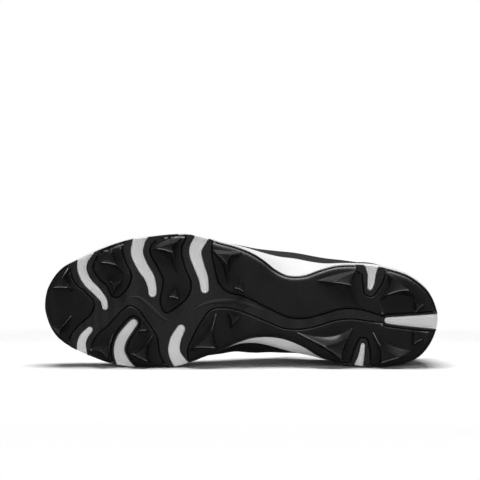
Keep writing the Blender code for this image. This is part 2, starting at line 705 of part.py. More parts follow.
def finish(piece, finish_name):
    """Gives a piece its material."""
    colour, roughness, metallic = FINISHES[finish_name]
    material = bpy.data.materials.get(finish_name) or bpy.data.materials.new(finish_name)
    material.use_nodes = True
    shader = material.node_tree.nodes["Principled BSDF"]
    shader.inputs["Base Color"].default_value = (*colour, 1)
    shader.inputs["Roughness"].default_value = roughness
    shader.inputs["Metallic"].default_value = metallic
    piece.data.materials.clear()
    piece.data.materials.append(material)


def shape_of(piece):
    """The points of a piece's finished mesh."""
    graph = bpy.context.evaluated_depsgraph_get()
    return [vert.co.copy() for vert in piece.evaluated_get(graph).to_mesh().vertices]


def resting_turn(pieces):
    """The turn and shift that lay the shoe on its medial side, its box's bottom centre at the origin.

    It rests on the hull's largest facet there, between the sole's edge and the upper.
    """
    points = [point for piece in pieces for point in shape_of(piece)]
    bm = bmesh.new()
    for point in points:
        bm.verts.new(point)
    bmesh.ops.convex_hull(bm, input=bm.verts)
    bm.normal_update()
    medial = Vector((0, 1, 0))
    facets = [face for face in bm.faces if face.normal.angle(medial) < RESTING_LEAN]
    down = max(facets, key=lambda face: face.calc_area()).normal.copy()
    bm.free()
    along = (Vector((1, 0, 0)) - down * down.x).normalized()
    turn = Matrix((along, (-down).cross(along), -down))
    placed = [turn @ point for point in points]
    low, high = ([pick(point[axis] for point in placed) for axis in range(3)] for pick in (min, max))
    shift = Vector((-(low[0] + high[0]) / 2, -(low[1] + high[1]) / 2, -low[2]))
    return Matrix.Translation(shift) @ turn.to_4x4()


def build():
    """Builds the shoe standing, and lays it down."""
    for old in list(bpy.data.objects):
        bpy.data.objects.remove(old)
    scene = bpy.context.scene.collection
    parts = bpy.data.collections.new("baseball_cleat")
    cutters = bpy.data.collections.new("cutters")
    scene.children.link(parts)
    scene.children.link(cutters)
    last = Last()
    pieces = [
        (make_outsole(parts, cutters), "black_plastic"),
        (make_midsole(parts), "white_foam"),
        (make_insole(parts), "black_lining"),
        (make_upper(parts, last), "black_mesh"),
        (make_tongue(parts, last), "black_lining"),
        (make_lace(parts, last), "black_lace"),
    ]
    for cutter in cutters.objects:
        cutter.hide_render = True
        cutter.display_type = "WIRE"
    holder = bpy.data.objects.new("shoe", None)
    parts.objects.link(holder)
    holder.matrix_world = resting_turn([piece for piece, _ in pieces])
    for piece, finish_name in pieces:
        finish(piece, finish_name)
        piece.parent = holder


build()
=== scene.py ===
"""Looks of a left baseball cleat that lies on its medial side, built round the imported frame.

Each piece is modelled on the standing shoe: X runs from the toe to the heel, Y to the medial side and
Z up, with the stud tips at zero. Its mesh is then laid down on the frame. Sizes are in metres.
"""

import json
import math
from collections import namedtuple
from functools import lru_cache

import bmesh
import bpy
import numpy as np
from bpy.props import FloatProperty, FloatVectorProperty, IntProperty, PointerProperty
from mathutils import Matrix, Vector
from mathutils.geometry import delaunay_2d_cdt, interpolate_bezier


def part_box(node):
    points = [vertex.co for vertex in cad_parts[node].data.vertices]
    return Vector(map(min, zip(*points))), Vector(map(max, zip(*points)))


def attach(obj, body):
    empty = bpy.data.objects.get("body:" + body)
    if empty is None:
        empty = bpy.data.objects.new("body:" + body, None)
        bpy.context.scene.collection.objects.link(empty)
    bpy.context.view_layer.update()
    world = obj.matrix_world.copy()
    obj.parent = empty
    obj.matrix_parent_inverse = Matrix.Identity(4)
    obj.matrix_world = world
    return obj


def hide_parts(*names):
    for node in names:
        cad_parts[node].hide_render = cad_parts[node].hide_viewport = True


bl_info = {
    "name": "Baseball cleat",
    "version": (1, 0, 0),
    "blender": (4, 5, 0),
    "location": "View3D > Sidebar > Cleat",
    "description": "Adds the moulded sole, foam, mesh upper, tongue and lace of a baseball cleat",
    "category": "Object",
}

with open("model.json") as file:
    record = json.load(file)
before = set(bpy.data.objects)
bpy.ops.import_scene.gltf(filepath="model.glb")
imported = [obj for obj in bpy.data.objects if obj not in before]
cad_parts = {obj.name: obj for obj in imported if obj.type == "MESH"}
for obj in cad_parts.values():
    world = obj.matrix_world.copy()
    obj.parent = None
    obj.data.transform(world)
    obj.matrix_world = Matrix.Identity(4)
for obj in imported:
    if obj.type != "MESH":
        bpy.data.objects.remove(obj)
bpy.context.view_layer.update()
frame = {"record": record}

# The shoe's own sizes, as in the solids
LENGTH = 0.298
BALL_WIDTH = 0.101
PLATE = 0.0022
PAD_RISE = 0.0009
STUD_HEIGHT = 0.0115
FOOT_NOSE = 0.0019
TIP_NOSE = 0.0004
TIP_HOLLOW = 0.4
HOLLOW_FLANK = 3.0
TOE_SPRING = 0.015
SPRING_START = 0.30
ARCH_RISE = 0.003
ARCH_FROM = 0.42
ARCH_TO = 0.76
FOREFOOT_FOAM = 0.009
HEEL_FOAM = 0.017
WAIST_FLARE = 0.0133
WALL = 0.002
OVERLAY = 0.0009
OVERLAY_ROUND = 0.00036
WELT = 0.0010
COLLAR_HEIGHT = 0.074
INSOLE = 0.003
GAP = 0.0003
OVERLAY_SEAT = WALL + GAP / 6
INSOLE_GAP = 0.0016
EYELET_INSET = 0.12
EYELET_ROWS = 6
FIRST_EYELET_RIB = 5.9
TOP_EYELET_RIB = 9.4
THROAT_RIB = 5
TONGUE_FLAP = 0.030
TONGUE_CURL = math.radians(22)
FLAP_WIDTHS = (0.72, 0.66, 0.66, 0.6)

# How finely curves and sheets are cut
OUTLINE_STEP = 0.0016
FOOT_STEP = 0.002
SLICE = 0.004
WELD = 0.000005
SHORTEST = 0.00035
MEETING = 0.005
PROBE = 0.02
GUIDE_PROBE = 0.2
TOUCHING = 1e-7
RIB_STEPS = 8
HEIGHT_STEPS = 24
TIP_STEPS = 8
NOSE_STEPS = 4
ARC_STEPS = 9
TONGUE_CROSS = 6
EVENING = 64
EVENING_REACH = 2.5
GROOVE_WALL = 0.3
FLOOR_FADE = (0.32, 0.55)

Edge = namedtuple("Edge", "along lateral medial")
Flare = namedtuple("Flare", "along lateral medial")
Level = namedtuple("Level", "height share inset")
Notch = namedtuple("Notch", "along across width")
Rib = namedtuple("Rib", "foot top height gape shift lateral_out medial_out rise spread drop")
StudLevel = namedtuple("StudLevel", "height share")
Stud = namedtuple("Stud", "foot tip hollows")
Roll = namedtuple("Roll", "height out lift")
Crease = namedtuple("Crease", "rib low high lean depth width")
Ramp = namedtuple("Ramp", "low high first last")
Seam = namedtuple("Seam", "first last edge away")
LaceStep = namedtuple("LaceStep", "ahead up lift width")
Lamp = namedtuple("Lamp", "name place aim size power")

# The foam's thickness, and the shares of LENGTH between which it grows
FOAM_STEP = Ramp(FOREFOOT_FOAM, HEEL_FOAM, 0.30, 0.78)


def hundredths(kind, rows):
    """Rows of a table, written in hundredths, as shares."""
    return [kind(*[value / 100 for value in row]) for row in rows]


# The sole's edge, in hundredths: along is of LENGTH from the toe, the others are of BALL_WIDTH
SOLE_EDGE = [Edge(*row) for row in (
    (0.5, 13.5, 6), (1.5, 20, 13.5), (3, 26.5, 20), (5, 32, 25), (8, 36.5, 30), (12, 42, 35),
    (17, 48, 40), (22, 52.5, 42.5), (28, 55, 43), (33, 56.5, 42.5), (37, 56.3, 39.5),
    (41, 54, 35), (45, 50.5, 30.5), (49, 47.3, 25), (53, 42.5, 21.3), (56, 37, 20.5),
    (59, 30, 21), (62, 26, 23), (66, 26, 28), (70, 30, 35), (74, 33.3, 39), (79, 34, 41.3),
    (84, 33, 42.5), (88, 30.5, 42), (92, 26.5, 39.5), (95, 21, 35.3), (97.5, 14, 27.5),
    (99.2, 4.5, 17.5))]
TOE_TIP = (0, 1)
HEEL_TIP = (100, -7)

# How far the foam's top edge stands out past the plate, in hundredths of WAIST_FLARE
FLARES = hundredths(Flare, (
    (0, 6, 4), (20, 7, 2), (40, 4, 2), (47, 6, 6), (52, 16, 24), (56, 42, 42), (60, 85, 60),
    (63, 100, 62), (66, 84, 48), (70, 43, 14), (75, 9, 4), (79, 6, 3), (84, 9, 4), (92, 13, 6),
    (100, 15, 10)))

# The foam's side from plate to upper: share of its height, share of the flare, and inset in rim widths
FOAM_LEVELS = (
    Level(0, 0, 1.6), Level(0.012, 0, 0.7), Level(0.04, 0.01, 0.2), Level(0.1, 0.06, 0),
    Level(0.22, 0.2, 0), Level(0.34, 0.36, 0), Level(0.45, 0.5, 0), Level(0.6, 0.68, 0),
    Level(0.75, 0.85, 0), Level(0.9, 1, 0), Level(0.96, 1, 0.2), Level(0.99, 1, 0.8), Level(1, 1, 1.8))

# The insole's side from its underside to its top: share of its thickness and inset in metres
INSOLE_LEVELS = ((0, 0), (0.6, 0), (0.85, 0.0002), (1, 0.0008), (1, 0.0016))

# Notches at the sole's edge, from mouth to tip, in hundredths: width is of BALL_WIDTH, as across is
NOTCHES = {
    "lateral_toe": ((12, 52, 13), (11.3, 45, 10.5), (10, 37.5, 8.3), (9.7, 30, 7.5), (11.2, 20.5, 7),
                    (13.6, 13.5, 6.5), (15.4, 6.5, 5.4), (15.7, 2, 4.8)),
    "lateral_ball": ((25.2, 60, 14), (24.4, 52, 9.5), (23.8, 43, 9.5), (25.1, 33, 8.8), (27, 24, 8),
                     (27.7, 16.5, 6.8), (27.8, 12.5, 6.4)),
    "lateral_shank": ((41.5, 62, 14), (40, 53, 10), (38.6, 44.5, 9.8), (39.5, 33, 8.4), (40.6, 24, 7.6),
                      (41, 15.5, 6.4)),
    "medial_toe": ((9.5, -40, 10), (9.7, -31, 8), (9.6, -25.5, 7.2), (10.2, -20.5, 6.5), (11.8, -15, 4.8)),
    "medial_ball": ((22, -48, 14), (20.3, -39.5, 10), (19.3, -31, 8.6), (19.8, -23, 8.2),
                    (21.8, -14, 7.2), (23, -9.8, 6.3)),
    "medial_shank": ((36.8, -48, 14), (34.8, -40, 10.5), (33.3, -31.5, 9.3), (33.6, -22.5, 8.5),
                     (35, -14, 6.6)),
    "lateral_heel": ((83.2, 40, 17), (83.2, 32.5, 10), (83.2, 26.5, 6.4), (83, 20, 5.6), (82.8, 17, 4.5)),
    "medial_heel": ((80, -48, 9.5), (80, -41, 6.8), (80.5, -35.5, 5), (81, -26, 3.4)),
    "heel_centre": ((103, -8.4, 13), (99, -8.4, 11.4), (93.5, -8.2, 8.7), (88.5, -7.8, 6), (87.2, -7.6, 5)),
}

# The rounded rim of the foam in a notch, and its channel's flank: widths and shares of the depth
STRIP_RIM = 0.0002
CHANNEL_STEPS = ((0.0004, 0.6), (0.0006, 0.4), (0.0003, 0))

# Low bays in the pads round the two heel notches
BAYS = {
    "lateral_heel_bay": ((83.2, 42, 28), (83.2, 34, 23.5), (83.6, 28, 17), (83.2, 19.5, 12.5),
                         (82.8, 15, 8.5)),
    "medial_heel_bay": ((80, -50, 16), (80.3, -42, 14), (80.8, -30, 11), (81, -24.5, 7)),
}

# Raised pads: the smooth inner edge, and corners past the sole's edge; along and across in hundredths
PADS = {
    "toe": (((6.8, 45), (6.8, 30), (8.2, 20), (11, 12.8), (13.2, 4), (12.3, -3.5), (8.9, -12.8),
             (6.9, -21), (6.8, -40)), ((-4, -40), (-4, 45))),
    "lateral_front": (((20.7, 50), (16.6, 46.2), (14, 42), (12.4, 31), (13.6, 24), (16.1, 17),
                       (17.7, 9), (19.2, 9), (21.9, 17.3), (22.7, 25.6), (21.3, 35.3), (20.3, 47)), ()),
    "lateral_ball": (((36.2, 55.6), (31.9, 54.5), (28, 51), (26.9, 43.5), (28.6, 33), (30.2, 22),
                      (29.6, 4), (31, -2.5), (34, 1.5), (37, 10), (37.8, 19), (36.2, 32), (35.3, 45)), ()),
    "lateral_rear": (((44.5, 60), (42.6, 47), (43.3, 31), (44.5, 19), (46.7, 12.8), (50.3, 10),
                      (57.9, -0.8), (62, -6), (66, -7), (70.2, -4.4), (75.3, 0), (79, 0.4), (83, -2.3),
                      (88, -7.2)), ((104, -8.2), (104, 60))),
    "medial_ball": (((11.6, -48), (12, -28), (13.3, -19.5), (16.6, -10.5), (19.6, -0.8), (22.1, 3.8),
                     (24.2, 0.8), (26.8, -9), (29.1, -19.5), (29.8, -31.6), (31.2, -48)), ()),
    "medial_rear": (((38, -50), (36.5, -30), (37.8, -20), (40.3, -6.8), (42.3, 0.4), (45.2, 2.3),
                     (48.7, 1), (56.9, -8.3), (61, -13), (65, -13.8), (69, -11.7), (74, -7.1),
                     (78.3, -6), (83.4, -8), (88, -8.8)), ((104, -9), (104, -50))),
}

# Studs: the corners of the foot and of the tip, along and across in hundredths, and how far the sides
# between them are hollowed towards the middle, also in hundredths
STUDS = [Stud(*row) for row in (
    (((6.1, 31.5), (1.9, 15), (7.7, 13.5)), ((5, 24.3), (2.9, 16.5), (6.4, 16.5)), (10, 35, 60)),
    (((7.1, -4.5), (1.7, -12.5), (3.7, -20)), ((5.1, -12.2), (2.9, -13.3), (4.3, -17.4)), (50, 5, 40)),
    (((17.4, 45.5), (13.8, 35.3), (20.9, 26.3)), ((17.4, 42.6), (15, 35.5), (18.8, 33.6)), (5, 40, 45)),
    (((16.1, 24), (20.3, 23.3), (18, 10.5)), ((17.3, 21.7), (19.8, 21.3), (18.4, 15.4)), (50, 35, 35)),
    (((27.3, 46), (35.2, 54.5), (34.2, 27)), ((29.1, 45.9), (33.2, 50), (33.2, 42.6)), (-15, 45, 45)),
    (((33.8, 19.5), (31.4, 9.5), (34.8, 6.5)), ((33.9, 17.6), (32.2, 10.2), (34.5, 8.7)), (40, 40, 40)),
    (((42.8, 45), (50.5, 43), (46.9, 18)), ((44.1, 41.8), (47.7, 41.5), (46.7, 34)), (0, 60, 30)),
    (((50.5, 23.5), (48, 17.3), (51.1, 12)), ((50.3, 21.3), (48.6, 16.9), (50.8, 13.9)), (30, 40, 20)),
    (((18, -17.3), (12.2, -29), (16.5, -37.5)), ((17.3, -23.7), (14.6, -29.3), (16.8, -34.9)), (40, 10, 20)),
    (((28, -18.3), (21.8, -32.5), (27.3, -40.5)), ((26.5, -25.2), (23.1, -32.3), (26.6, -37.5)), (45, 5, 45)),
    (((25.3, -6), (23.9, -17.3), (27.3, -16.3)), ((25.5, -9.2), (24.7, -15.2), (26.6, -14.8)), (30, 40, 30)),
    (((44, -2.3), (36.9, -30), (44.4, -29)), ((42.9, -14.4), (38.8, -27.1), (43.6, -27.5)), (25, 10, 45)),
    (((46.7, -1.5), (50.4, -4.5), (47.4, -13.8)), ((47.5, -2.9), (49.6, -5.1), (48, -10.7)), (50, 50, 30)),
    (((79.2, 30), (69, 21.8), (79.8, 3)), ((78.4, 28), (73.1, 21), (77.8, 18.7)), (-5, 35, 45)),
    (((87.2, 28.5), (85.2, 7.5), (94.5, 9)), ((88, 25.1), (86.8, 11.7), (92.3, 15.4)), (45, 50, -10)),
    (((93.6, 8), (97, 4), (93.9, -2.8)), ((94.1, 6.4), (95.9, 4.6), (94.1, -0.3)), (30, 30, 15)),
    (((64.2, -17.3), (78.6, -13.5), (75.9, -38.8)), ((70.9, -26.3), (76.9, -20), (75.4, -35.3)),
     (60, 45, 10)),
    (((83.3, -16.5), (94.1, -30.8), (85.2, -40.8)), ((85, -26), (89.8, -34.5), (85.4, -38.3)), (50, 0, 30)),
    (((93.4, -14), (96.6, -22), (93.2, -27.2)), ((93.7, -15.5), (95.6, -21.1), (93.5, -24.5)), (30, 30, 20)),
)]
REST_STUDS = (STUDS[4], STUDS[17])

# A stud's rings from inside the pad to the tip: shares of its height and of the way from foot to tip
STUD_LEVELS = (
    StudLevel(-0.03, -0.07), StudLevel(0.005, -0.05), StudLevel(0.04, 0.01), StudLevel(0.12, 0.11),
    StudLevel(0.28, 0.28), StudLevel(0.46, 0.47), StudLevel(0.64, 0.65), StudLevel(0.82, 0.83),
    StudLevel(0.94, 0.94), StudLevel(0.985, 0.97), StudLevel(1.0, 1.0))

# Crests of the web's spine, along and across in hundredths
CRESTS = (
    ((20.8, 7.5), (22.6, 9.3), (24.4, 8.8), (26.4, 4.5), (28.3, -1), (30.5, -6.5), (33, -9.5)),
    ((37.4, -2.5), (39.5, 2.2), (42, 5.2), (45.5, 6.6), (49.5, 5.6), (53.5, 2), (57.5, -2.5)),
)

# Ribs of the last, each from its foot on the foam to the crest, the throat's edge or the collar.
# In hundredths: foot of the way round from toe to heel, top of LENGTH, height of COLLAR_HEIGHT,
# gape, shift and the outs of BALL_WIDTH, rise and drop of the rib's height, spread of its width
RIBS = hundredths(Rib, (
    (0, 10, 38, 0, 1.5, 1, 1, 72, 64, 0),
    (5.5, 11.5, 40, 0, 2, 1, 1, 72, 62, 0),
    (11, 14, 43, 0, 2, 1, 1, 70, 60, 0),
    (17, 18.5, 47, 0, 2.5, 1, 1, 68, 58, 0),
    (24, 24.5, 53, 0, 3, 1, 1, 66, 56, 0),
    (33, 32.5, 61, 0, 3.5, 1, 1, 62, 54, 0),
    (39, 38, 68, 11, 4, 3, 7, 60, 46, 5),
    (46, 44, 77, 13, 4, 8, 20, 56, 42, 9),
    (53, 50, 88, 14, 3.5, 12, 28, 54, 38, 13),
    (59, 56, 98, 15, 2, 18, 20, 52, 36, 17),
    (65, 62, 102, 20, 0, 19, 9, 50, 30, 24),
    (71, 70, 88, 27, -2.5, 15, 5, 48, 18, 34),
    (78, 79, 75, 30, -4.5, 8, 5, 46, 8, 40),
    (85, 88, 80, 26, -6, 4, 3, 45, 4, 42),
    (91, 94, 92, 18, -7, 3, 3, 45, 0, 42),
    (96, 97, 101, 10, -7, 3, 3, 45, 0, 42),
    (100, 98, 104, 0, -7, 3, 3, 45, 0, 42)))
LAST_RIB = len(RIBS) - 1

# Soft flex marks where the toes bend: rib, from and to share of its height, lean in ribs, depth and width
CREASES = (
    Crease(4.3, 0.35, 1.0, 0.25, 0.0007, 0.12),
    Crease(4.9, 0.30, 0.95, 0.35, 0.0009, 0.13),
    Crease(5.6, 0.25, 0.75, 0.45, 0.0006, 0.12),
)
CREASE_FADE = 0.15

# The padded collar's roll, from its outer seam over the edge and down inside the shoe
COLLAR_ROLL = (
    Roll(0.93, 0.0022, 0), Roll(0.965, 0.0030, 0), Roll(1.0, 0.0031, 0.0004),
    Roll(1.0, 0.0022, 0.0022), Roll(1.0, 0.0004, 0.0030), Roll(1.0, -0.0018, 0.0026),
    Roll(1.0, -0.0036, 0.0008), Roll(0.97, -0.0044, 0), Roll(0.9, -0.0046, 0), Roll(0.8, -0.0042, 0),
    Roll(0.7, -0.0032, 0), Roll(0.62, -0.0018, 0), Roll(0.58, -0.0006, 0))
COLLAR_CUTS = 3
COLLAR_COLUMNS = 64
COLLAR_FIRST_RIB = 9.9
COLLAR_START = 0.35
COLLAR_EASE = 0.08

# Where the overlays end and how their edges run: shares of a rib's height between two ribs
RAND_LAST_RIB = 4.6
RAND_TOP = Ramp(0.24, 0.04, 3.2, RAND_LAST_RIB)
COUNTER_FIRST_RIB = 11.6
COUNTER_TOP = Ramp(0.06, 0.52, COUNTER_FIRST_RIB, 13.8)
STAY_RIBS = (5.25, 10.2)
STAY_LOW = 0.80
STAY_SAG = 0.04
STAY_SAG_FROM = 5.2
STAY_SAG_RUN = 5.0
STAY_FRONT = Ramp(0.16, 0.0, 5.25, 5.75)
SEAM_INSET = 0.035
STAY_SEAM_INSET = 0.02
THROAT_SEAM = 0.975
SEAM_STEPS = 60
STITCH_ENDS = (0.15, 0.85)

# The lace out of an eyelet, into the next one from below, and at its end: ribs on, height above the
# hole, lift off the upper and share of its width
STAY_FACE = WALL + OVERLAY
LACE_OUT = (
    LaceStep(0, 0, -0.0006, 0.55), LaceStep(0, 0.008, STAY_FACE + 0.0004, 0.6),
    LaceStep(0.06, 0.05, STAY_FACE + 0.0013, 0.85))
LACE_IN = (LaceStep(-0.12, 0.105, -0.0009, 0.9), LaceStep(-0.04, 0.03, -0.0011, 0.7))
LACE_END = (LaceStep(0, 0, -0.0006, 0.55), LaceStep(0, 0.008, STAY_FACE + 0.0006, 0.6))
LACE_SHARES = (0, 0.2, 0.4, 0.5, 0.6, 0.8)
LACE_FROM = 0.16
LACE_RUN = 0.62
LACE_CLEAR = 0.0009
LACE_EDGE = STAY_FACE + 0.0006
LACE_FALL = 1.5
LACE_CORNERS = (0.6, 0.8)
LACE_OVER = 0.0009
LACE_UNDER = -0.0002
LACE_STEP = 0.0011
BAR_LIFT = -0.0010
BAR_EDGE = 0.97
BAR_SINK = 0.0004
BAR_SHARES = (0.15, 0.4, 0.6, 0.85)
BAR_WIDTH = 0.9


class CleatSizes(bpy.types.PropertyGroup):
    """Sizes of the surface detail."""

    groove: FloatProperty(
        name="Pad groove", description="Width of the groove round each pad", default=0.0009, unit="LENGTH")
    groove_depth: FloatProperty(
        name="Groove depth", description="Depth of that groove", default=0.0012, unit="LENGTH")
    pad_rim: FloatProperty(
        name="Pad rim", description="Width of the rounded rim of a pad", default=0.0006, unit="LENGTH")
    plate_rim: FloatProperty(
        name="Plate rim", description="Width of the plate's rounded edge", default=0.00035, unit="LENGTH")
    edge_roll: FloatProperty(
        name="Edge roll", description="Width of the pads' round outer edge", default=0.0045, unit="LENGTH")
    edge_drop: FloatProperty(
        name="Edge drop", description="How far that edge falls below the web", default=0.0015, unit="LENGTH")
    crest_width: FloatProperty(
        name="Crest width", description="Width of the crests on the web", default=0.0055, unit="LENGTH")
    crest_height: FloatProperty(
        name="Crest height", description="Height of those crests", default=0.0007, unit="LENGTH")
    stud_dish: FloatProperty(
        name="Stud dish", description="Depth of the hollow in a stud's tip", default=0.0003, unit="LENGTH")
    foam_rim: FloatProperty(
        name="Foam rim", description="Rounding of the foam's edges", default=0.0008, unit="LENGTH")
    foam_recess: FloatProperty(
        name="Foam recess", description="Depth of the foam below the web", default=0.0009, unit="LENGTH")
    foam_lip: FloatProperty(
        name="Foam lip", description="Width of the lip round a channel", default=0.0007, unit="LENGTH")
    foam_channel: FloatProperty(
        name="Foam channel", description="Depth of the channel in a notch", default=0.0007, unit="LENGTH")
    mesh_pitch: FloatProperty(
        name="Mesh pitch", description="Distance between the knit's holes", default=0.0017, unit="LENGTH")
    stitch_pitch: FloatProperty(
        name="Stitch pitch", description="Distance from stitch to stitch", default=0.0032, unit="LENGTH")
    stitch_width: FloatProperty(
        name="Thread", description="Thickness of a stitch", default=0.0006, unit="LENGTH")
    lace_width: FloatProperty(
        name="Lace width", description="Width of the flat lace", default=0.0062, unit="LENGTH")
    lace_thickness: FloatProperty(
        name="Lace thickness", description="Thickness of the flat lace", default=0.0013, unit="LENGTH")
    tongue_padding: FloatProperty(
        name="Tongue padding", description="Thickness of the padded tongue", default=0.0036, unit="LENGTH")
    eyelet_hole: FloatProperty(
        name="Eyelet hole", description="Radius of an eyelet's hole", default=0.0022, unit="LENGTH")
    camera_distance: FloatProperty(
        name="Camera distance", description="From the camera to the sole", default=1.25, unit="LENGTH")
    ring_sides: IntProperty(
        name="Lace sides", description="Points round the lace", default=10, min=6, max=24)


class CleatColours(bpy.types.PropertyGroup):
    """Base colours of the finishes."""

    pads: FloatVectorProperty(
        name="Pads", description="Smooth moulded plastic", default=(0.009, 0.009, 0.0092), subtype="COLOR")
    web: FloatVectorProperty(
        name="Web", description="Grained moulded plastic", default=(0.017, 0.017, 0.017), subtype="COLOR")
    foam: FloatVectorProperty(
        name="Foam", description="Midsole foam", default=(0.76, 0.76, 0.76), subtype="COLOR")
    mesh: FloatVectorProperty(
        name="Mesh", description="Knitted mesh", default=(0.0075, 0.0075, 0.0078), subtype="COLOR")
    overlay: FloatVectorProperty(
        name="Overlay", description="Smooth overlays", default=(0.010, 0.010, 0.0105), subtype="COLOR")
    lining: FloatVectorProperty(
        name="Lining", description="Brushed lining", default=(0.020, 0.020, 0.021), subtype="COLOR")
    lace: FloatVectorProperty(
        name="Lace", description="Woven lace", default=(0.020, 0.020, 0.021), subtype="COLOR")
    thread: FloatVectorProperty(
        name="Thread", description="Sewing thread", default=(0.030, 0.030, 0.031), subtype="COLOR")
    floor: FloatVectorProperty(
        name="Floor", description="Studio floor", default=(0.96, 0.96, 0.96), subtype="COLOR")


def plan_point(along, across):
    """A point of the plan from hundredths of the length and of the ball's width."""
    return Vector((along * LENGTH / 100, -across * BALL_WIDTH / 100, 0))


def smooth_line(points, step, closed=False):
    """Points about a step apart on a smooth curve through the given ones."""
    points = [Vector(point).to_3d() for point in points]
    count = len(points)

    def heading(i):
        before = points[(i - 1) % count] if closed or i > 0 else points[i]
        after = points[(i + 1) % count] if closed or i < count - 1 else points[i]
        return ((points[i] - before).normalized() + (after - points[i]).normalized()).normalized()

    line = []
    for i in range(count if closed else count - 1):
        j = (i + 1) % count
        start, end = points[i], points[j]
        span = (end - start).length
        cuts = max(1, round(span / step))
        line += interpolate_bezier(
            start, start + heading(i) * span / 3, end - heading(j) * span / 3, end, cuts + 1)[:-1]
    return line if closed else line + [points[-1]]


def outward_normals(loop):
    """The outward normal at each point of a loop that runs counter-clockwise."""
    count = len(loop)
    normals = []
    for i in range(count):
        run = loop[(i + 1) % count] - loop[i - 1]
        normals.append(Vector((run.y, -run.x, 0)).normalized())
    return normals


def grown(loop, distance):
    """The loop moved out by a distance, or in where it is negative."""
    return [point + normal * distance for point, normal in zip(loop, outward_normals(loop))]


def sole_loop(step=OUTLINE_STEP):
    """The sole's edge, from the toe along the lateral side to the heel and back."""
    lateral = [plan_point(row.along, row.lateral) for row in SOLE_EDGE]
    medial = [plan_point(row.along, -row.medial) for row in reversed(SOLE_EDGE)]
    points = [plan_point(*TOE_TIP)] + lateral + [plan_point(*HEEL_TIP)] + medial
    return smooth_line(points, step, closed=True)


def flare_line(side):
    """The foam's flare along one side, as a smooth line of shares."""
    return smooth_line([(row.along, row.medial if side > 0 else row.lateral) for row in FLARES], 0.01)


@lru_cache(maxsize=None)
def foam_loop(step=OUTLINE_STEP):
    """The foam's top edge, where the upper stands, evened out where the flare is wide."""
    lines = {side: flare_line(side) for side in (-1, 1)}
    loop = sole_loop(step)
    edge, shares = [], []
    for point, normal in zip(loop, outward_normals(loop)):
        line = lines[1 if point.y > 0 else -1]
        share = np.interp(point.x / LENGTH, [spot.x for spot in line], [spot.y for spot in line])
        edge.append(point + normal * share * WAIST_FLARE)
        shares.append(min(share * EVENING_REACH, 1.0))
    for _ in range(EVENING):
        neighbours = zip(edge[-1:] + edge[:-1], edge[1:] + edge[:1])
        middles = [(before + after) / 2 for before, after in neighbours]
        edge = [point.lerp(middle, share / 2) for point, middle, share in zip(edge, middles, shares)]
    return edge


def eased(value):
    """A smooth step from 0 to 1."""
    value = min(max(value, 0.0), 1.0)
    return value * value * (3 - 2 * value)


def ramped(ramp, number):
    """A smooth step from one value to another between two places."""
    return ramp.low + (ramp.high - ramp.low) * eased((number - ramp.first) / (ramp.last - ramp.first))


def rise(x):
    """Toe spring and arch: how far the sole is bent up at a distance from the toe."""
    along = x / LENGTH
    spring = max(0.0, 1 - along / SPRING_START) ** 2
    arch = math.sin(math.pi * min(max((along - ARCH_FROM) / (ARCH_TO - ARCH_FROM), 0), 1)) ** 2
    return TOE_SPRING * spring + ARCH_RISE * arch


def foam_height(x):
    """Thickness of the foam at a distance from the toe."""
    return ramped(FOAM_STEP, x / LENGTH)


def plate_top(x):
    """Height of the plate's top face."""
    return rise(x) + STUD_HEIGHT + PLATE


def deck(x):
    """Height of the foam's top face."""
    return plate_top(x) + GAP + foam_height(x)


def strip_outline(rows):
    """Outline of a strip with a round tip, from rows of centre line and width, counter-clockwise."""
    rows = [Notch(*row) for row in rows]
    centre = [plan_point(row.along, row.across) for row in rows]
    line = smooth_line(centre, OUTLINE_STEP)
    ways = np.cumsum([0] + [(b - a).length for a, b in zip(centre, centre[1:])])
    widths = [row.width * BALL_WIDTH / 100 for row in rows]
    path = np.cumsum([0] + [(b - a).length for a, b in zip(line, line[1:])])
    path *= ways[-1] / path[-1]
    left, right = [], []
    for i, point in enumerate(line):
        run = (line[min(i + 1, len(line) - 1)] - line[max(i - 1, 0)]).normalized()
        half = np.interp(path[i], ways, widths) / 2
        side = Vector((run.y, -run.x, 0)) * half
        left.append(point - side)
        right.append(point + side)
    end = line[-1]
    radius = left[-1] - end
    turns = [math.pi * k / TIP_STEPS for k in range(1, TIP_STEPS)]
    tip = [end + Matrix.Rotation(-angle, 3, "Z") @ radius for angle in turns]
    return (left + tip + right[::-1])[::-1]


def between(rows, number):
    """A table's row at a number between two of its rows, on a smooth curve through each column."""
    last = len(rows) - 1
    low = min(int(number), last - 1)
    share = number - low
    cube, square = share ** 3, share ** 2
    values = []
    for a, b, c, d in zip(*[rows[min(max(low + k, 0), last)] for k in (-1, 0, 1, 2)]):
        slope_b, slope_c = (c - a) / 2, (d - b) / 2
        values.append(b * (2 * cube - 3 * square + 1) + slope_b * (cube - 2 * square + share)
                      + c * (3 * square - 2 * cube) + slope_c * (cube - square))
    return type(rows[0])(*values)


def rib_row(number):
    """The rib table between its rows, with no gape in front of the throat."""
    row = between(RIBS, number)
    return row._replace(gape=max(0.0, row.gape) if number > THROAT_RIB else 0.0)


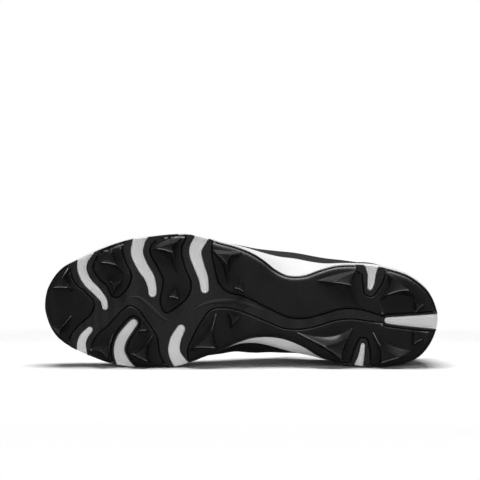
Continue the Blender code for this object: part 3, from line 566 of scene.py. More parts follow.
class Last:
    """The shape of the foot inside the shoe, as ribs on both sides."""

    def __init__(self):
        loop = grown(foam_loop(FOOT_STEP), -(WALL + OVERLAY + WELT))
        pairs = list(zip(loop, outward_normals(loop)))
        heel = max(range(len(loop)), key=lambda i: loop[i].x)
        self.feet = {-1: pairs[:heel + 1], 1: [pairs[0]] + pairs[:heel - 1:-1]}
        self.ways = {}
        for side, half in self.feet.items():
            way = np.cumsum([0] + [(b[0] - a[0]).length for a, b in zip(half, half[1:])])
            self.ways[side] = way / way[-1]
        self.columns = {side: [[[pair[k][axis] for pair in half] for axis in (0, 1)] for k in (0, 1)]
                        for side, half in self.feet.items()}

    def foot(self, side, share):
        """Point and outward normal of the foot line."""
        place, normal = [[float(np.interp(share, self.ways[side], column)) for column in pair]
                         for pair in self.columns[side]]
        return Vector((*place, 0)), Vector((*normal, 0)).normalized()

    def top(self, side, row):
        """Upper end of a rib."""
        x = row.top * LENGTH
        y = -row.shift * BALL_WIDTH + side * row.gape * BALL_WIDTH
        return Vector((x, y, deck(x) + row.height * COLLAR_HEIGHT))

    @lru_cache(maxsize=None)
    def handles(self, side, number):
        """The four control points of a rib."""
        row = rib_row(number)
        plan, normal = self.foot(side, row.foot)
        out = (row.lateral_out if side < 0 else row.medial_out) * BALL_WIDTH
        height = row.height * COLLAR_HEIGHT
        climb = row.rise * height
        dip = WALL * out / math.hypot(out, climb)
        seat = max(deck(plan.x), deck(plan.x + normal.x * WALL))
        foot = Vector((plan.x, plan.y, seat + GAP + dip))
        top = self.top(side, row)
        lean = foot + Vector((normal.x * out, normal.y * out, climb))
        spread = Vector((foot.x - top.x, foot.y - top.y, 0)) * row.spread
        ahead, behind = rib_row(min(number + PROBE, LAST_RIB)), rib_row(max(number - PROBE, 0))
        crest = self.top(side, ahead) - self.top(side, behind)
        if row.gape == 0 and number <= THROAT_RIB:
            spread.z = spread.x * crest.z / crest.x
        return foot, lean, top + spread - Vector((0, 0, row.drop * height)), top

    def point(self, side, number, height):
        """A point of the last at a rib and a share of the way up it."""
        a, b, c, d = self.handles(side, number)
        t, s = height, 1 - height
        return a * s ** 3 + b * 3 * t * s * s + c * 3 * t * t * s + d * t ** 3

    def normal(self, side, number, height):
        """Outward normal of the last."""
        low, high = max(height - PROBE, 0), min(height + PROBE, 1)
        up = self.point(side, number, high) - self.point(side, number, low)
        front, back = max(number - PROBE, 0), min(number + PROBE, LAST_RIB)
        along = self.point(side, back, height) - self.point(side, front, height)
        return along.cross(up).normalized() * -side

    def over(self, side, number, height, offset):
        """A point off the last by a distance along its normal."""
        return self.point(side, number, height) + self.normal(side, number, height) * offset

    def across(self, number, share):
        """A point on the smooth bridge over the throat, from the lateral to the medial edge."""
        ends = [self.point(side, number, 1) for side in (-1, 1)]
        width = (ends[1] - ends[0]).length
        arms = []
        for side, end in zip((-1, 1), ends):
            run = (end - self.point(side, number, 1 - PROBE)).normalized()
            arms.append(end + run * width / 3)
        t, s = share, 1 - share
        return ends[0] * s ** 3 + arms[0] * 3 * t * s * s + arms[1] * 3 * t * t * s + ends[1] * t ** 3


LAST = Last()


def tip_of(row):
    """The middle of a stud's flat tip, which lies over the middle of its foot."""
    corners = [plan_point(*corner) for corner in row.foot]
    middle = sum(corners, Vector((0, 0, 0))) / 3
    return Vector((middle.x, middle.y, rise(middle.x)))


def laying_turn():
    """The turn that lays the standing shoe on the frame, from the frame's two mounts on stud tips."""
    front, back = frame["record"]["mounts"][:2]
    start, end = Vector(front["pos_m"]), Vector(back["pos_m"])
    bases = []
    for run, up in ((tip_of(REST_STUDS[1]) - tip_of(REST_STUDS[0]), Vector((0, 0, 1))),
                    (end - start, -Vector(front["axis"]))):
        run.normalize()
        side = up.cross(run).normalized()
        bases.append(Matrix((run, side, run.cross(side))).transposed())
    turn = (bases[1] @ bases[0].inverted()).to_4x4()
    return Matrix.Translation(start - turn @ tip_of(REST_STUDS[0])) @ turn


LAYING = laying_turn()


def finished(name, bm, materials, smooth_angle=None, replaced=()):
    """Lays a standing mesh down as a shown piece that rides on the shoe."""
    bmesh.ops.transform(bm, matrix=LAYING, verts=bm.verts)
    mesh = bpy.data.meshes.new(name)
    bm.to_mesh(mesh)
    bm.free()
    mesh.shade_smooth()
    if smooth_angle is not None:
        mesh.set_sharp_from_angle(angle=smooth_angle)
    for material in materials:
        mesh.materials.append(material)
    piece = bpy.data.objects.new(name, mesh)
    bpy.context.scene.collection.objects.link(piece)
    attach(piece, "root")
    if replaced:
        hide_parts(*replaced)
    return piece


def wall_modifier(piece, thickness, offset, inner_material=0):
    """Gives a sheet its thickness, with the inner side in another material where one is given."""
    wall = piece.modifiers.new("Wall", "SOLIDIFY")
    wall.thickness = thickness
    wall.offset = offset
    wall.material_offset = inner_material
    return wall


def edge_modifier(piece, width, segments=2, angle=math.radians(40)):
    """Rounds a piece's sharp edges."""
    edge = piece.modifiers.new("Edges", "BEVEL")
    edge.width = width
    edge.segments = segments
    edge.limit_method = "ANGLE"
    edge.angle_limit = angle
    return edge


def ring_start(bm, points):
    """A capped ring of vertices at the points, from a bmesh circle."""
    made = bmesh.ops.create_circle(bm, cap_ends=True, radius=1, segments=len(points))
    for vert, point in zip(made["verts"], points):
        vert.co = point
    return made["verts"]


def ring_onwards(bm, ring, points):
    """Extrudes a ring of vertices to new points, in the same order."""
    edges = [bm.edges.get((a, b)) for a, b in zip(ring, ring[1:] + ring[:1])]
    made = bmesh.ops.extrude_edge_only(bm, edges=edges)["geom"]
    fresh = {item for item in made if isinstance(item, bmesh.types.BMVert)}
    following = []
    for vert, point in zip(ring, points):
        twin = next(edge.other_vert(vert) for edge in vert.link_edges if edge.other_vert(vert) in fresh)
        twin.co = point
        following.append(twin)
    return following


def stacked(bm, rings):
    """A closed body through rings of equally many points, and its rings of vertices."""
    made = [ring_start(bm, rings[0])]
    for points in rings[1:]:
        made.append(ring_onwards(bm, made[-1], points))
    ring = made[-1]
    edges = [bm.edges.get((a, b)) for a, b in zip(ring, ring[1:] + ring[:1])]
    bmesh.ops.contextual_create(bm, geom=edges)
    return made


def sheet(bm, columns, rows, place):
    """A grid of faces whose corners a function places, from shares along and up; with UVs in metres."""
    before = set(bm.verts)
    bmesh.ops.create_grid(bm, x_segments=columns, y_segments=rows, size=1)
    spots = {}
    for vert in bm.verts:
        if vert not in before:
            key = (round((vert.co.x + 1) / 2 * columns), round((vert.co.y + 1) / 2 * rows))
            spots[key] = vert
    for (i, j), vert in spots.items():
        vert.co = place(i / columns, j / rows)
    layer = bm.loops.layers.uv.verify()
    middle = rows // 2
    run = np.cumsum([0] + [(spots[i + 1, middle].co - spots[i, middle].co).length for i in range(columns)])
    spans = [np.cumsum([0] + [(spots[i, j + 1].co - spots[i, j].co).length for j in range(rows)])
             for i in range(columns + 1)]
    for (i, j), vert in spots.items():
        for loop in vert.link_loops:
            loop[layer].uv = (run[i], spans[i][j])
    return spots


def sliced_and_bent(bm, height_of):
    """Cuts the faces across the sole and bends them to a height."""
    for i in range(1, math.ceil(LENGTH / SLICE)):
        geometry = bm.verts[:] + bm.edges[:] + bm.faces[:]
        bmesh.ops.bisect_plane(bm, geom=geometry, dist=WELD, plane_co=(i * SLICE, 0, 0), plane_no=(1, 0, 0))
    for vert in bm.verts:
        vert.co.z = height_of(vert.co)


def overlaid(bm, outlines, wanted):
    """Faces of the overlaid outlines that a test of their names wants, as triangles that face down."""
    points, rings = [], []
    for loop in outlines.values():
        first = len(points)
        turns_left = sum(a.cross(b).z for a, b in zip(loop, loop[1:] + loop[:1])) > 0
        points += [point.to_2d() for point in (loop if turns_left else loop[::-1])]
        rings.append(list(range(first, len(points))))
    spots, _, faces, _, _, owners = delaunay_2d_cdt(points, [], rings, 1, WELD)
    names = list(outlines)
    verts = [bm.verts.new((*spot, 0)) for spot in spots]
    for face, owner in zip(faces, owners):
        kind = wanted({names[i] for i in owner})
        if kind is not None:
            bm.faces.new([verts[i] for i in reversed(face)]).material_index = kind
    bmesh.ops.delete(bm, geom=[vert for vert in bm.verts if not vert.link_faces], context="VERTS")
    bmesh.ops.remove_doubles(bm, verts=bm.verts, dist=SHORTEST)
    bmesh.ops.dissolve_degenerate(bm, edges=bm.edges, dist=SHORTEST / 4)
    bmesh.ops.delete(bm, geom=[vert for vert in bm.verts if not vert.link_faces], context="VERTS")


WEB, PAD = 0, 1
ROLL_BANDS = (0.55, 0.75, 1.0)


def sole_outlines(margin, roll):
    """Every outline of the moulded sole in plan, by name; the bands only cut the faces along its edge."""
    outlines = {"sole": sole_loop()}
    for share in ROLL_BANDS:
        outlines[f"band {share}"] = grown(sole_loop(), -roll * share)
    for name, rows in NOTCHES.items():
        outlines["notch " + name] = strip_outline(rows)
        outlines["margin " + name] = grown(strip_outline(rows), margin)
    for name, rows in BAYS.items():
        outlines["bay " + name] = strip_outline(rows)
    for name, (inner, outer) in PADS.items():
        loop = smooth_line([plan_point(*point) for point in inner], OUTLINE_STEP, closed=not outer)
        outlines["pad " + name] = loop + [plan_point(*point) for point in outer]
    return outlines


def sole_region(names):
    """Which finish a spot of the sole has, from the outlines round it."""
    kinds = {name.split()[0] for name in names}
    if "sole" not in kinds or "notch" in kinds:
        return None
    return PAD if "pad" in kinds and not {"bay", "margin"} & kinds else WEB


def nearest_on_edge(points, loop):
    """The nearest spot to each point on a closed line in plan, and how far inside it the point lies."""
    starts = np.array([point.to_2d() for point in loop])
    runs = np.roll(starts, -1, axis=0) - starts
    spots = np.array([point.to_2d() for point in points])[:, None]
    shares = ((spots - starts) * runs).sum(2) / (runs * runs).sum(1)
    nearest = starts + runs * shares.clip(0, 1)[..., None]
    distances = np.linalg.norm(spots - nearest, axis=2)
    found = []
    for k, i in enumerate(distances.argmin(axis=1)):
        way = spots[k, 0] - nearest[k, i]
        inside = runs[i, 0] * way[1] - runs[i, 1] * way[0] >= 0
        found.append((Vector(nearest[k, i]), float(distances[k, i]) * (1 if inside else -1)))
    return found


def roll_edge(bm, sizes):
    """Rounds the pads down to the sole's edge, with no groove there, and draws in what passes it."""
    top = STUD_HEIGHT + PLATE / 2
    verts = [vert for vert in bm.verts if vert.co.z < top]
    taken_over = sizes.plate_rim + sizes.groove * (1 + GROOVE_WALL)
    for vert, (spot, distance) in zip(verts, nearest_on_edge([vert.co for vert in verts], sole_loop())):
        if distance < 0:
            vert.co.xy = spot
            distance = 0
        if distance < sizes.edge_roll and any(face.material_index == PAD for face in vert.link_faces):
            bulge = 1 - (1 - distance / sizes.edge_roll) ** 2
            level = STUD_HEIGHT + sizes.edge_drop - (PAD_RISE + sizes.edge_drop) * bulge
            vert.co.z = level if distance < taken_over else max(vert.co.z, level)


def sunk(bm, depth):
    """Gives flat faces a body below them, and returns its lower faces."""
    geometry = bm.verts[:] + bm.edges[:] + bm.faces[:]
    made = bmesh.ops.extrude_face_region(bm, geom=geometry, use_keep_orig=True)["geom"]
    lowered = [item for item in made if isinstance(item, bmesh.types.BMVert)]
    bmesh.ops.translate(bm, verts=lowered, vec=(0, 0, -depth))
    return [item for item in made if isinstance(item, bmesh.types.BMFace)]


def inset(bm, faces, thickness, depth):
    """Insets a region of faces as one, and returns the faces of its new rim."""
    return bmesh.ops.inset_region(
        bm, faces=faces, thickness=thickness, depth=depth, use_boundary=True, use_even_offset=False)["faces"]


def moulded_sole(sizes):
    """The plate with its raised pads and the grooves round them, as one body."""
    bm = bmesh.new()
    overlaid(bm, sole_outlines(sizes.plate_rim + sizes.groove, sizes.edge_roll), sole_region)
    bmesh.ops.translate(bm, verts=bm.verts, vec=(0, 0, STUD_HEIGHT + PLATE))
    front = sunk(bm, PLATE)

    for width, lift in ((0.4, 0.75), (0.6, 0.25), (1, 0)):
        rim = inset(bm, front, sizes.plate_rim * width, 0)
        inner = {vert for face in front for vert in face.verts}
        outer = {vert for face in rim for vert in face.verts} - inner
        bmesh.ops.translate(bm, verts=list(outer), vec=(0, 0, sizes.plate_rim * lift))

    pads = [face for face in front if face.material_index == PAD]
    full = PAD_RISE + sizes.groove_depth
    inset(bm, pads, sizes.groove, -sizes.groove_depth)
    inset(bm, pads, sizes.groove * GROOVE_WALL, full * 0.68)
    for width, lift in ((0.35, 0.24), (0.65, 0.08), (1, 0)):
        inset(bm, pads, sizes.pad_rim * width, full * lift)
    roll_edge(bm, sizes)
    sliced_and_bent(bm, lambda co: co.z + rise(co.x))
    bmesh.ops.recalc_face_normals(bm, faces=bm.faces)
    for points in CRESTS:
        crest(bm, points, sizes.crest_width, sizes.crest_height)
    return bm


def stud_outline(corners, hollows, nose):
    """A three-cornered outline with blunt noses, and how hollow it is at each point."""
    middle = sum(corners, Vector((0, 0, 0))) / 3
    points, depths = [], []
    for i, corner in enumerate(corners):
        before, after = corners[i - 1], corners[(i + 1) % 3]
        into = corner + (before - corner).normalized() * nose
        out = corner + (after - corner).normalized() * nose
        handles = (into.lerp(corner, 0.6), out.lerp(corner, 0.6))
        points += interpolate_bezier(into, *handles, out, NOSE_STEPS)[:-1]
        depths += [0] * (NOSE_STEPS - 1)
        end = after + (corner - after).normalized() * nose
        half = (out + end) / 2
        pull = half + (middle - half) * hollows[i] * 2
        points += interpolate_bezier(out, out.lerp(pull, 2 / 3), end.lerp(pull, 2 / 3), end, ARC_STEPS)[:-1]
        depths += [hollows[i] * math.sin(math.pi * k / (ARC_STEPS - 1)) for k in range(ARC_STEPS - 1)]
    return points, depths


def stud(bm, row, dish):
    """A stud: three ridges from the tip's corners down to the foot's, hollow flanks and a dished tip."""
    feet, tips = [[plan_point(*corner) for corner in corners] for corners in (row.foot, row.tip)]
    hollows = [value / 100 for value in row.hollows]
    middle = sum(feet, Vector((0, 0, 0))) / 3
    if (feet[1] - feet[0]).cross(feet[2] - feet[0]).z < 0:
        feet.reverse()
        tips.reverse()
        hollows = [hollows[1], hollows[0], hollows[2]]
    foot, depths = stud_outline(feet, hollows, FOOT_NOSE)
    tip, _ = stud_outline(tips, [value * TIP_HOLLOW for value in hollows], TIP_NOSE)
    floor = rise(middle.x)
    rings = []
    for level in STUD_LEVELS:
        ring = []
        for low, high, depth in zip(foot, tip, depths):
            power = 1 + HOLLOW_FLANK * max(depth, 0)
            share = 1 - (1 - level.share) ** power if level.share > 0 else level.share
            point = low.lerp(high, share)
            root = rise(point.x) + STUD_HEIGHT - PAD_RISE
            ring.append(Vector((point.x, point.y, root + (floor - root) * level.height)))
        rings.append(ring)
    last = stacked(bm, rings)[-1]
    face = [face for face in last[0].link_faces if len(face.verts) == len(last)]
    bmesh.ops.inset_region(bm, faces=face, thickness=dish * 2, depth=0)
    bmesh.ops.translate(bm, verts=face[0].verts, vec=(0, 0, dish))


def crest(bm, points, width, height):
    """A low rounded crest that tapers to both ends, on the web's face."""
    line = smooth_line([plan_point(*point) for point in points], OUTLINE_STEP * 1.5)
    count = len(line) - 1

    def place(u, v):
        i = round(u * count)
        run = line[min(i + 1, count)] - line[max(i - 1, 0)]
        side = Vector((run.y, -run.x, 0)).normalized()
        swell = math.sin(math.pi * min(max(u, 0.02), 0.98)) ** 0.5
        spot = line[i] + side * (v - 0.5) * width * swell
        spot.z = rise(spot.x) + STUD_HEIGHT + GAP / 2 - height * swell * math.sin(math.pi * v) ** 2
        return spot

    spots = sheet(bm, count, 8, place)
    rim = {edge for vert in spots.values() for edge in vert.link_edges if edge.is_boundary}
    bmesh.ops.holes_fill(bm, edges=list(rim), sides=0)
    own = {face for vert in spots.values() for face in vert.link_faces}
    bmesh.ops.recalc_face_normals(bm, faces=list(own))


def coordinates(tree, kind, scale, turn=0.0):
    """Coordinates of a pattern, scaled and turned."""
    place = tree.nodes.new("ShaderNodeTexCoord")
    mapping = tree.nodes.new("ShaderNodeMapping")
    mapping.inputs["Scale"].default_value = scale if isinstance(scale, tuple) else (scale,) * 3
    mapping.inputs["Rotation"].default_value = (0, 0, turn)
    tree.links.new(place.outputs[kind], mapping.inputs["Vector"])
    return mapping.outputs["Vector"]


def pattern(tree, kind, vector, **settings):
    """A pattern's node on given coordinates, with its sockets set."""
    node = tree.nodes.new(kind)
    for name, value in settings.items():
        node.inputs[name].default_value = value
    tree.links.new(vector, node.inputs["Vector"])
    return node


def noise(tree, vector, scale, detail=2.0, roughness=0.5):
    """A noise pattern."""
    node = pattern(tree, "ShaderNodeTexNoise", vector, Scale=scale, Detail=detail, Roughness=roughness)
    return node.outputs["Fac"]


def cells(tree, vector, scale, randomness):
    """Distance to the middle of round cells."""
    node = pattern(tree, "ShaderNodeTexVoronoi", vector, Scale=scale, Randomness=randomness)
    return node.outputs["Distance"]


def waves(tree, vector, scale, direction):
    """Parallel bands."""
    node = pattern(tree, "ShaderNodeTexWave", vector, Scale=scale)
    node.bands_direction = direction
    return node.outputs["Fac"]


def ranged(tree, value, low, high, to_low, to_high):
    """A pattern's value moved from one range to another."""
    node = tree.nodes.new("ShaderNodeMapRange")
    for socket, number in zip(("From Min", "From Max", "To Min", "To Max"), (low, high, to_low, to_high)):
        node.inputs[socket].default_value = number
    tree.links.new(value, node.inputs["Value"])
    return node.outputs["Result"]


def combined(tree, operation, first, second):
    """Two values put through a math node."""
    node = tree.nodes.new("ShaderNodeMath")
    node.operation = operation
    for socket, value in zip(node.inputs, (first, second)):
        if isinstance(value, (int, float)):
            socket.default_value = value
        else:
            tree.links.new(value, socket)
    return node.outputs["Value"]


def tinted(tree, shader, share, dark, light):
    """Base colour between two colours by a pattern."""
    node = tree.nodes.new("ShaderNodeMix")
    node.data_type = "RGBA"
    node.inputs["A"].default_value = (*dark, 1)
    node.inputs["B"].default_value = (*light, 1)
    tree.links.new(share, node.inputs["Factor"])
    tree.links.new(node.outputs["Result"], shader.inputs["Base Color"])


def bumped(tree, shader, height, distance, strength=1.0, after=None):
    """Relief from a pattern, on top of another bump where one is given."""
    node = tree.nodes.new("ShaderNodeBump")
    node.inputs["Strength"].default_value = strength
    node.inputs["Distance"].default_value = distance
    tree.links.new(height, node.inputs["Height"])
    if after:
        tree.links.new(after, node.inputs["Normal"])
    tree.links.new(node.outputs["Normal"], shader.inputs["Normal"])
    return node.outputs["Normal"]


def new_material(name, colour, roughness):
    """A material with its node tree and shader."""
    material = bpy.data.materials.new(name)
    material.use_nodes = True
    tree = material.node_tree
    shader = tree.nodes["Principled BSDF"]
    shader.inputs["Base Color"].default_value = (*colour, 1)
    shader.inputs["Roughness"].default_value = roughness
    return material, tree, shader


def scaled(colour, factor):
    """A lighter or darker colour."""
    return tuple(min(value * factor, 1.0) for value in colour)


def pad_plastic(colour):
    """Smooth satin plastic with faint flow waves and a few specks of dust."""
    material, tree, shader = new_material("pad_plastic", colour, 0.34)
    vector = coordinates(tree, "Object", 1.0)
    cloud = noise(tree, vector, 45)
    tree.links.new(ranged(tree, cloud, 0.3, 0.7, 0.28, 0.42), shader.inputs["Roughness"])
    dust = ranged(tree, cells(tree, vector, 210, 1.0), 0.035, 0.075, 1.0, 0.0)
    tinted(tree, shader, dust, colour, scaled(colour, 9))
    bumped(tree, shader, noise(tree, vector, 160, 3.0), 0.00008, 0.5)
    return material


def web_plastic(colour):
    """Finely grained plastic of the sole's web."""
    material, tree, shader = new_material("web_plastic", colour, 0.6)
    vector = coordinates(tree, "Object", 1.0)
    shader.inputs["Specular IOR Level"].default_value = 0.28
    grain = cells(tree, vector, 820, 0.3)
    tinted(tree, shader, ranged(tree, grain, 0.1, 0.6, 0.0, 1.0), scaled(colour, 1.6), scaled(colour, 0.5))
    bumped(tree, shader, grain, 0.00022, 0.9)
    return material


def foam_skin(colour):
    """Moulded foam with a fine skin."""
    material, tree, shader = new_material("foam_skin", colour, 0.62)
    vector = coordinates(tree, "Object", 1.0)
    shade = noise(tree, vector, 70, 3.0)
    tinted(tree, shader, ranged(tree, shade, 0.35, 0.65, 0.0, 1.0), scaled(colour, 0.965), colour)
    bumped(tree, shader, noise(tree, vector, 2600, 2.0), 0.00005, 0.5)
    return material


def knit_mesh(colour, pitch):
    """Black engineered mesh: rows of small holes, each row set half a hole along, with painted shade in the
    holes.
    """
    material, tree, shader = new_material("knit_mesh", colour, 0.82)
    vector = coordinates(tree, "UV", (1 / pitch, 1 / pitch, 1), math.radians(45))
    hole = cells(tree, vector, 1.0, 0.0)
    share = ranged(tree, hole, 0.16, 0.34, 1.0, 0.0)
    yarn = noise(tree, coordinates(tree, "UV", (1 / pitch, 1 / pitch, 1)), 9.0, 3.0)
    # The holes are painted far darker than the yarn and the lining: painted shade inside the holes.
    tinted(tree, shader, share, scaled(colour, 1.25), scaled(colour, 0.25))
    first = bumped(tree, shader, yarn, 0.00012, 0.6)
    bumped(tree, shader, combined(tree, "SUBTRACT", 1.0, share), 0.0004, 0.8, first)
    shader.inputs["Specular IOR Level"].default_value = 0.3
    return material


def smooth_synthetic(colour):
    """Fused synthetic of the overlays, with a fine leather-like grain."""
    material, tree, shader = new_material("smooth_synthetic", colour, 0.46)
    vector = coordinates(tree, "Object", 1.0)
    grain = cells(tree, vector, 900, 0.9)
    tree.links.new(ranged(tree, noise(tree, vector, 60), 0.3, 0.7, 0.4, 0.54), shader.inputs["Roughness"])
    bumped(tree, shader, grain, 0.00008, 0.6)
    return material


def brushed_lining(colour):
    """Soft brushed textile of the collar, the tongue and the inside."""
    material, tree, shader = new_material("brushed_lining", colour, 0.92)
    vector = coordinates(tree, "Object", 1.0)
    pile = noise(tree, vector, 1400, 3.0, 0.7)
    tinted(tree, shader, ranged(tree, pile, 0.35, 0.65, 0.0, 1.0), scaled(colour, 0.6), scaled(colour, 1.4))
    bumped(tree, shader, pile, 0.00018, 0.8)
    shader.inputs["Sheen Weight"].default_value = 0.3
    return material


def woven_lace(colour):
    """Flat woven lace: a herringbone of fine yarns along its own UVs."""
    material, tree, shader = new_material("woven_lace", colour, 0.8)
    vector = coordinates(tree, "UV", 1.0)
    first = waves(tree, vector, 330, "DIAGONAL")
    second = waves(tree, coordinates(tree, "UV", (1, -1, 1)), 330, "DIAGONAL")
    weave = combined(tree, "MULTIPLY", first, second)
    tinted(tree, shader, weave, scaled(colour, 0.5), scaled(colour, 1.4))
    bumped(tree, shader, weave, 0.0002, 0.8)
    return material


def sewing_thread(colour):
    """Twisted thread."""
    material, tree, shader = new_material("sewing_thread", colour, 0.6)
    bumped(tree, shader, noise(tree, coordinates(tree, "Object", 1.0), 2500), 0.00005, 0.6)
    return material


def studio_floor(colour):
    """Plain pale floor that fades into the white of the studio."""
    material, tree, shader = new_material("studio_floor", colour, 0.9)
    shader.inputs["Specular IOR Level"].default_value = 0.0
    away = tree.nodes.new("ShaderNodeVectorMath")
    away.operation = "LENGTH"
    tree.links.new(coordinates(tree, "Object", 1.0), away.inputs[0])
    tree.links.new(ranged(tree, away.outputs["Value"], *FLOOR_FADE, 1.0, 0.0), shader.inputs["Alpha"])
    return material


def made_once(maker, *arguments):
    """A material, made at its first use."""
    return bpy.data.materials.get(maker.__name__) or maker(*arguments)


class CLEAT_OT_outsole(bpy.types.Operator):
    """Adds the plate with its pads, web and grooves"""
    bl_idname = "cleat.outsole"
    bl_label = "Outsole"

    def execute(self, context):
        sizes, colours = context.scene.cleat_sizes, context.scene.cleat_colours
        materials = [made_once(web_plastic, colours.web), made_once(pad_plastic, colours.pads)]
        bm = moulded_sole(sizes)
        finished("outsole_moulding", bm, materials, math.radians(42), ["outsole"])
        return {"FINISHED"}


class CLEAT_OT_studs(bpy.types.Operator):
    """Adds the nineteen studs"""
    bl_idname = "cleat.studs"
    bl_label = "Studs"

    def execute(self, context):
        sizes, colours = context.scene.cleat_sizes, context.scene.cleat_colours
        bm = bmesh.new()
        for row in STUDS:
            stud(bm, row, sizes.stud_dish)
        bmesh.ops.recalc_face_normals(bm, faces=bm.faces)
        materials = [made_once(pad_plastic, colours.pads)]
        finished("outsole_studs", bm, materials, math.radians(50), ())
        return {"FINISHED"}


def foam_block(sizes):
    """The midsole's body between plate and upper."""
    low, high = sole_loop(), foam_loop()
    rings = []
    for level in FOAM_LEVELS:
        ring = grown([a.lerp(b, level.share) for a, b in zip(low, high)], -level.inset * sizes.foam_rim)
        rings.append([Vector((point.x, point.y, level.height)) for point in ring])
    bm = bmesh.new()
    stacked(bm, rings)
    bmesh.ops.recalc_face_normals(bm, faces=bm.faces)
    sliced_and_bent(bm, lambda co: plate_top(co.x) + GAP + co.z * foam_height(co.x))
    return bm


def foam_channels(bm, sizes):
    """The foam in the notches: raised strips with a shallow channel along them."""
    outlines = {"sole": grown(sole_loop(), -GAP)}
    for name, rows in NOTCHES.items():
        outlines["notch " + name] = grown(strip_outline(rows), -GAP)
    strips = bmesh.new()
    overlaid(strips, outlines, lambda names: 0 if "sole" in names and len(names) > 1 else None)
    bmesh.ops.translate(strips, verts=strips.verts, vec=(0, 0, STUD_HEIGHT + PLATE + GAP * 2))
    front = sunk(strips, PLATE + GAP * 2 - sizes.foam_recess)
    inset(strips, front, STRIP_RIM, STRIP_RIM)
    inset(strips, front, sizes.foam_lip, 0)
    for thickness, share in CHANNEL_STEPS:
        inset(strips, front, thickness, -sizes.foam_channel * share)
    sliced_and_bent(strips, lambda co: co.z + rise(co.x))
    bmesh.ops.recalc_face_normals(strips, faces=strips.faces)
    loose = bpy.data.meshes.new("foam_channels")
    strips.to_mesh(loose)
    strips.free()
    bm.from_mesh(loose)
    bpy.data.meshes.remove(loose)


class CLEAT_OT_midsole(bpy.types.Operator):
    """Adds the foam midsole with its channels in the notches"""
    bl_idname = "cleat.midsole"
    bl_label = "Midsole"

    def execute(self, context):
        sizes, colours = context.scene.cleat_sizes, context.scene.cleat_colours
        bm = foam_block(sizes)
        foam_channels(bm, sizes)
        materials = [made_once(foam_skin, colours.foam)]
        finished("midsole_foam", bm, materials, math.radians(50), ["midsole"])
        return {"FINISHED"}


class CLEAT_OT_insole(bpy.types.Operator):
    """Adds the insole"""
    bl_idname = "cleat.insole"
    bl_label = "Insole"

    def execute(self, context):
        colours = context.scene.cleat_colours
        edge = grown(foam_loop(), -(WALL + OVERLAY + WELT + INSOLE_GAP))
        rings = []
        for height, away in INSOLE_LEVELS:
            rings.append([Vector((point.x, point.y, height)) for point in grown(edge, -away)])
        bm = bmesh.new()
        stacked(bm, rings)
        bmesh.ops.recalc_face_normals(bm, faces=bm.faces)
        sliced_and_bent(bm, lambda co: deck(co.x) + GAP + co.z * INSOLE)
        materials = [made_once(brushed_lining, colours.lining)]
        finished("insole_sheet", bm, materials, math.radians(50), ["insole"])
        return {"FINISHED"}


def crease_depth(number, height):
    """How far the flex marks sink the upper at a spot of it."""
    depth = 0.0
    for crease in CREASES:
        centre = crease.rib + crease.lean * (height - crease.high)
        trough = math.exp(-((number - centre) / crease.width) ** 2)
        ridge = 0.5 * math.exp(-((number - centre - crease.width * 2) / crease.width) ** 2)
        fade = eased((height - crease.low) / CREASE_FADE) * eased((crease.high - height) / CREASE_FADE + 1)
        depth += crease.depth * (trough - ridge) * fade
    return depth


def upper_point(side, number, height, offset=0.0):
    """A point of the upper's inner face or off it, with its flex marks."""
    return LAST.over(side, number, height, offset - crease_depth(number, height))


def both_sides(bm, columns, rows, place):
    """A sheet on each side of the shoe, welded where they meet."""
    lateral = sheet(bm, columns, rows, lambda u, v: place(-1, u, v))
    medial = sheet(bm, columns, rows, lambda u, v: place(1, u, v))
    own = set(medial.values())
    bmesh.ops.reverse_faces(bm, faces=[face for face in bm.faces if set(face.verts) <= own])
    for i in (0, columns):
        pairs = [(lateral[i, j], medial[i, j]) for j in range(rows + 1)]
        if all((a.co - b.co).length < MEETING for a, b in pairs):
            for a, b in pairs:
                a.co = b.co = (a.co + b.co) / 2
    bmesh.ops.remove_doubles(bm, verts=bm.verts, dist=WELD * 2)


class CLEAT_OT_upper(bpy.types.Operator):
    """Adds the mesh wall of the upper"""
    bl_idname = "cleat.upper"
    bl_label = "Upper"

    def execute(self, context):
        sizes, colours = context.scene.cleat_sizes, context.scene.cleat_colours
        bm = bmesh.new()
        both_sides(bm, LAST_RIB * RIB_STEPS, HEIGHT_STEPS,
                   lambda side, u, v: upper_point(side, u * LAST_RIB, v))
        knit = made_once(knit_mesh, colours.mesh, sizes.mesh_pitch)
        materials = [knit, made_once(brushed_lining, colours.lining)]
        piece = finished("upper_mesh", bm, materials, None, ["upper"])
        wall_modifier(piece, WALL, 1, 1)
        return {"FINISHED"}


def overlay(name, first, last, low, high, columns, rows, materials):
    """A fused overlay between two heights of the ribs, on both sides."""
    bm = bmesh.new()

    def place(side, u, v):
        number = first + (last - first) * u
        bottom, top = low(number), high(number)
        return upper_point(side, number, bottom + (top - bottom) * v, OVERLAY_SEAT)

    both_sides(bm, columns, rows, place)
    piece = finished(name, bm, materials, None, ())
    wall_modifier(piece, OVERLAY, 1)
    edge_modifier(piece, OVERLAY_ROUND)
    return piece


def rand_top(number):
    """Upper edge of the toe rand: a low band that dips to its end."""
    return ramped(RAND_TOP, number)


def counter_top(number):
    """Upper edge of the heel counter: it climbs from the foam to its full height."""
    return ramped(COUNTER_TOP, number)


def stay_low(number):
    """Lower edge of the eyestay, which sags in the middle and climbs at the front."""
    sag = STAY_SAG * math.sin(math.pi * min(max((number - STAY_SAG_FROM) / STAY_SAG_RUN, 0), 1))
    return STAY_LOW - sag + ramped(STAY_FRONT, number)


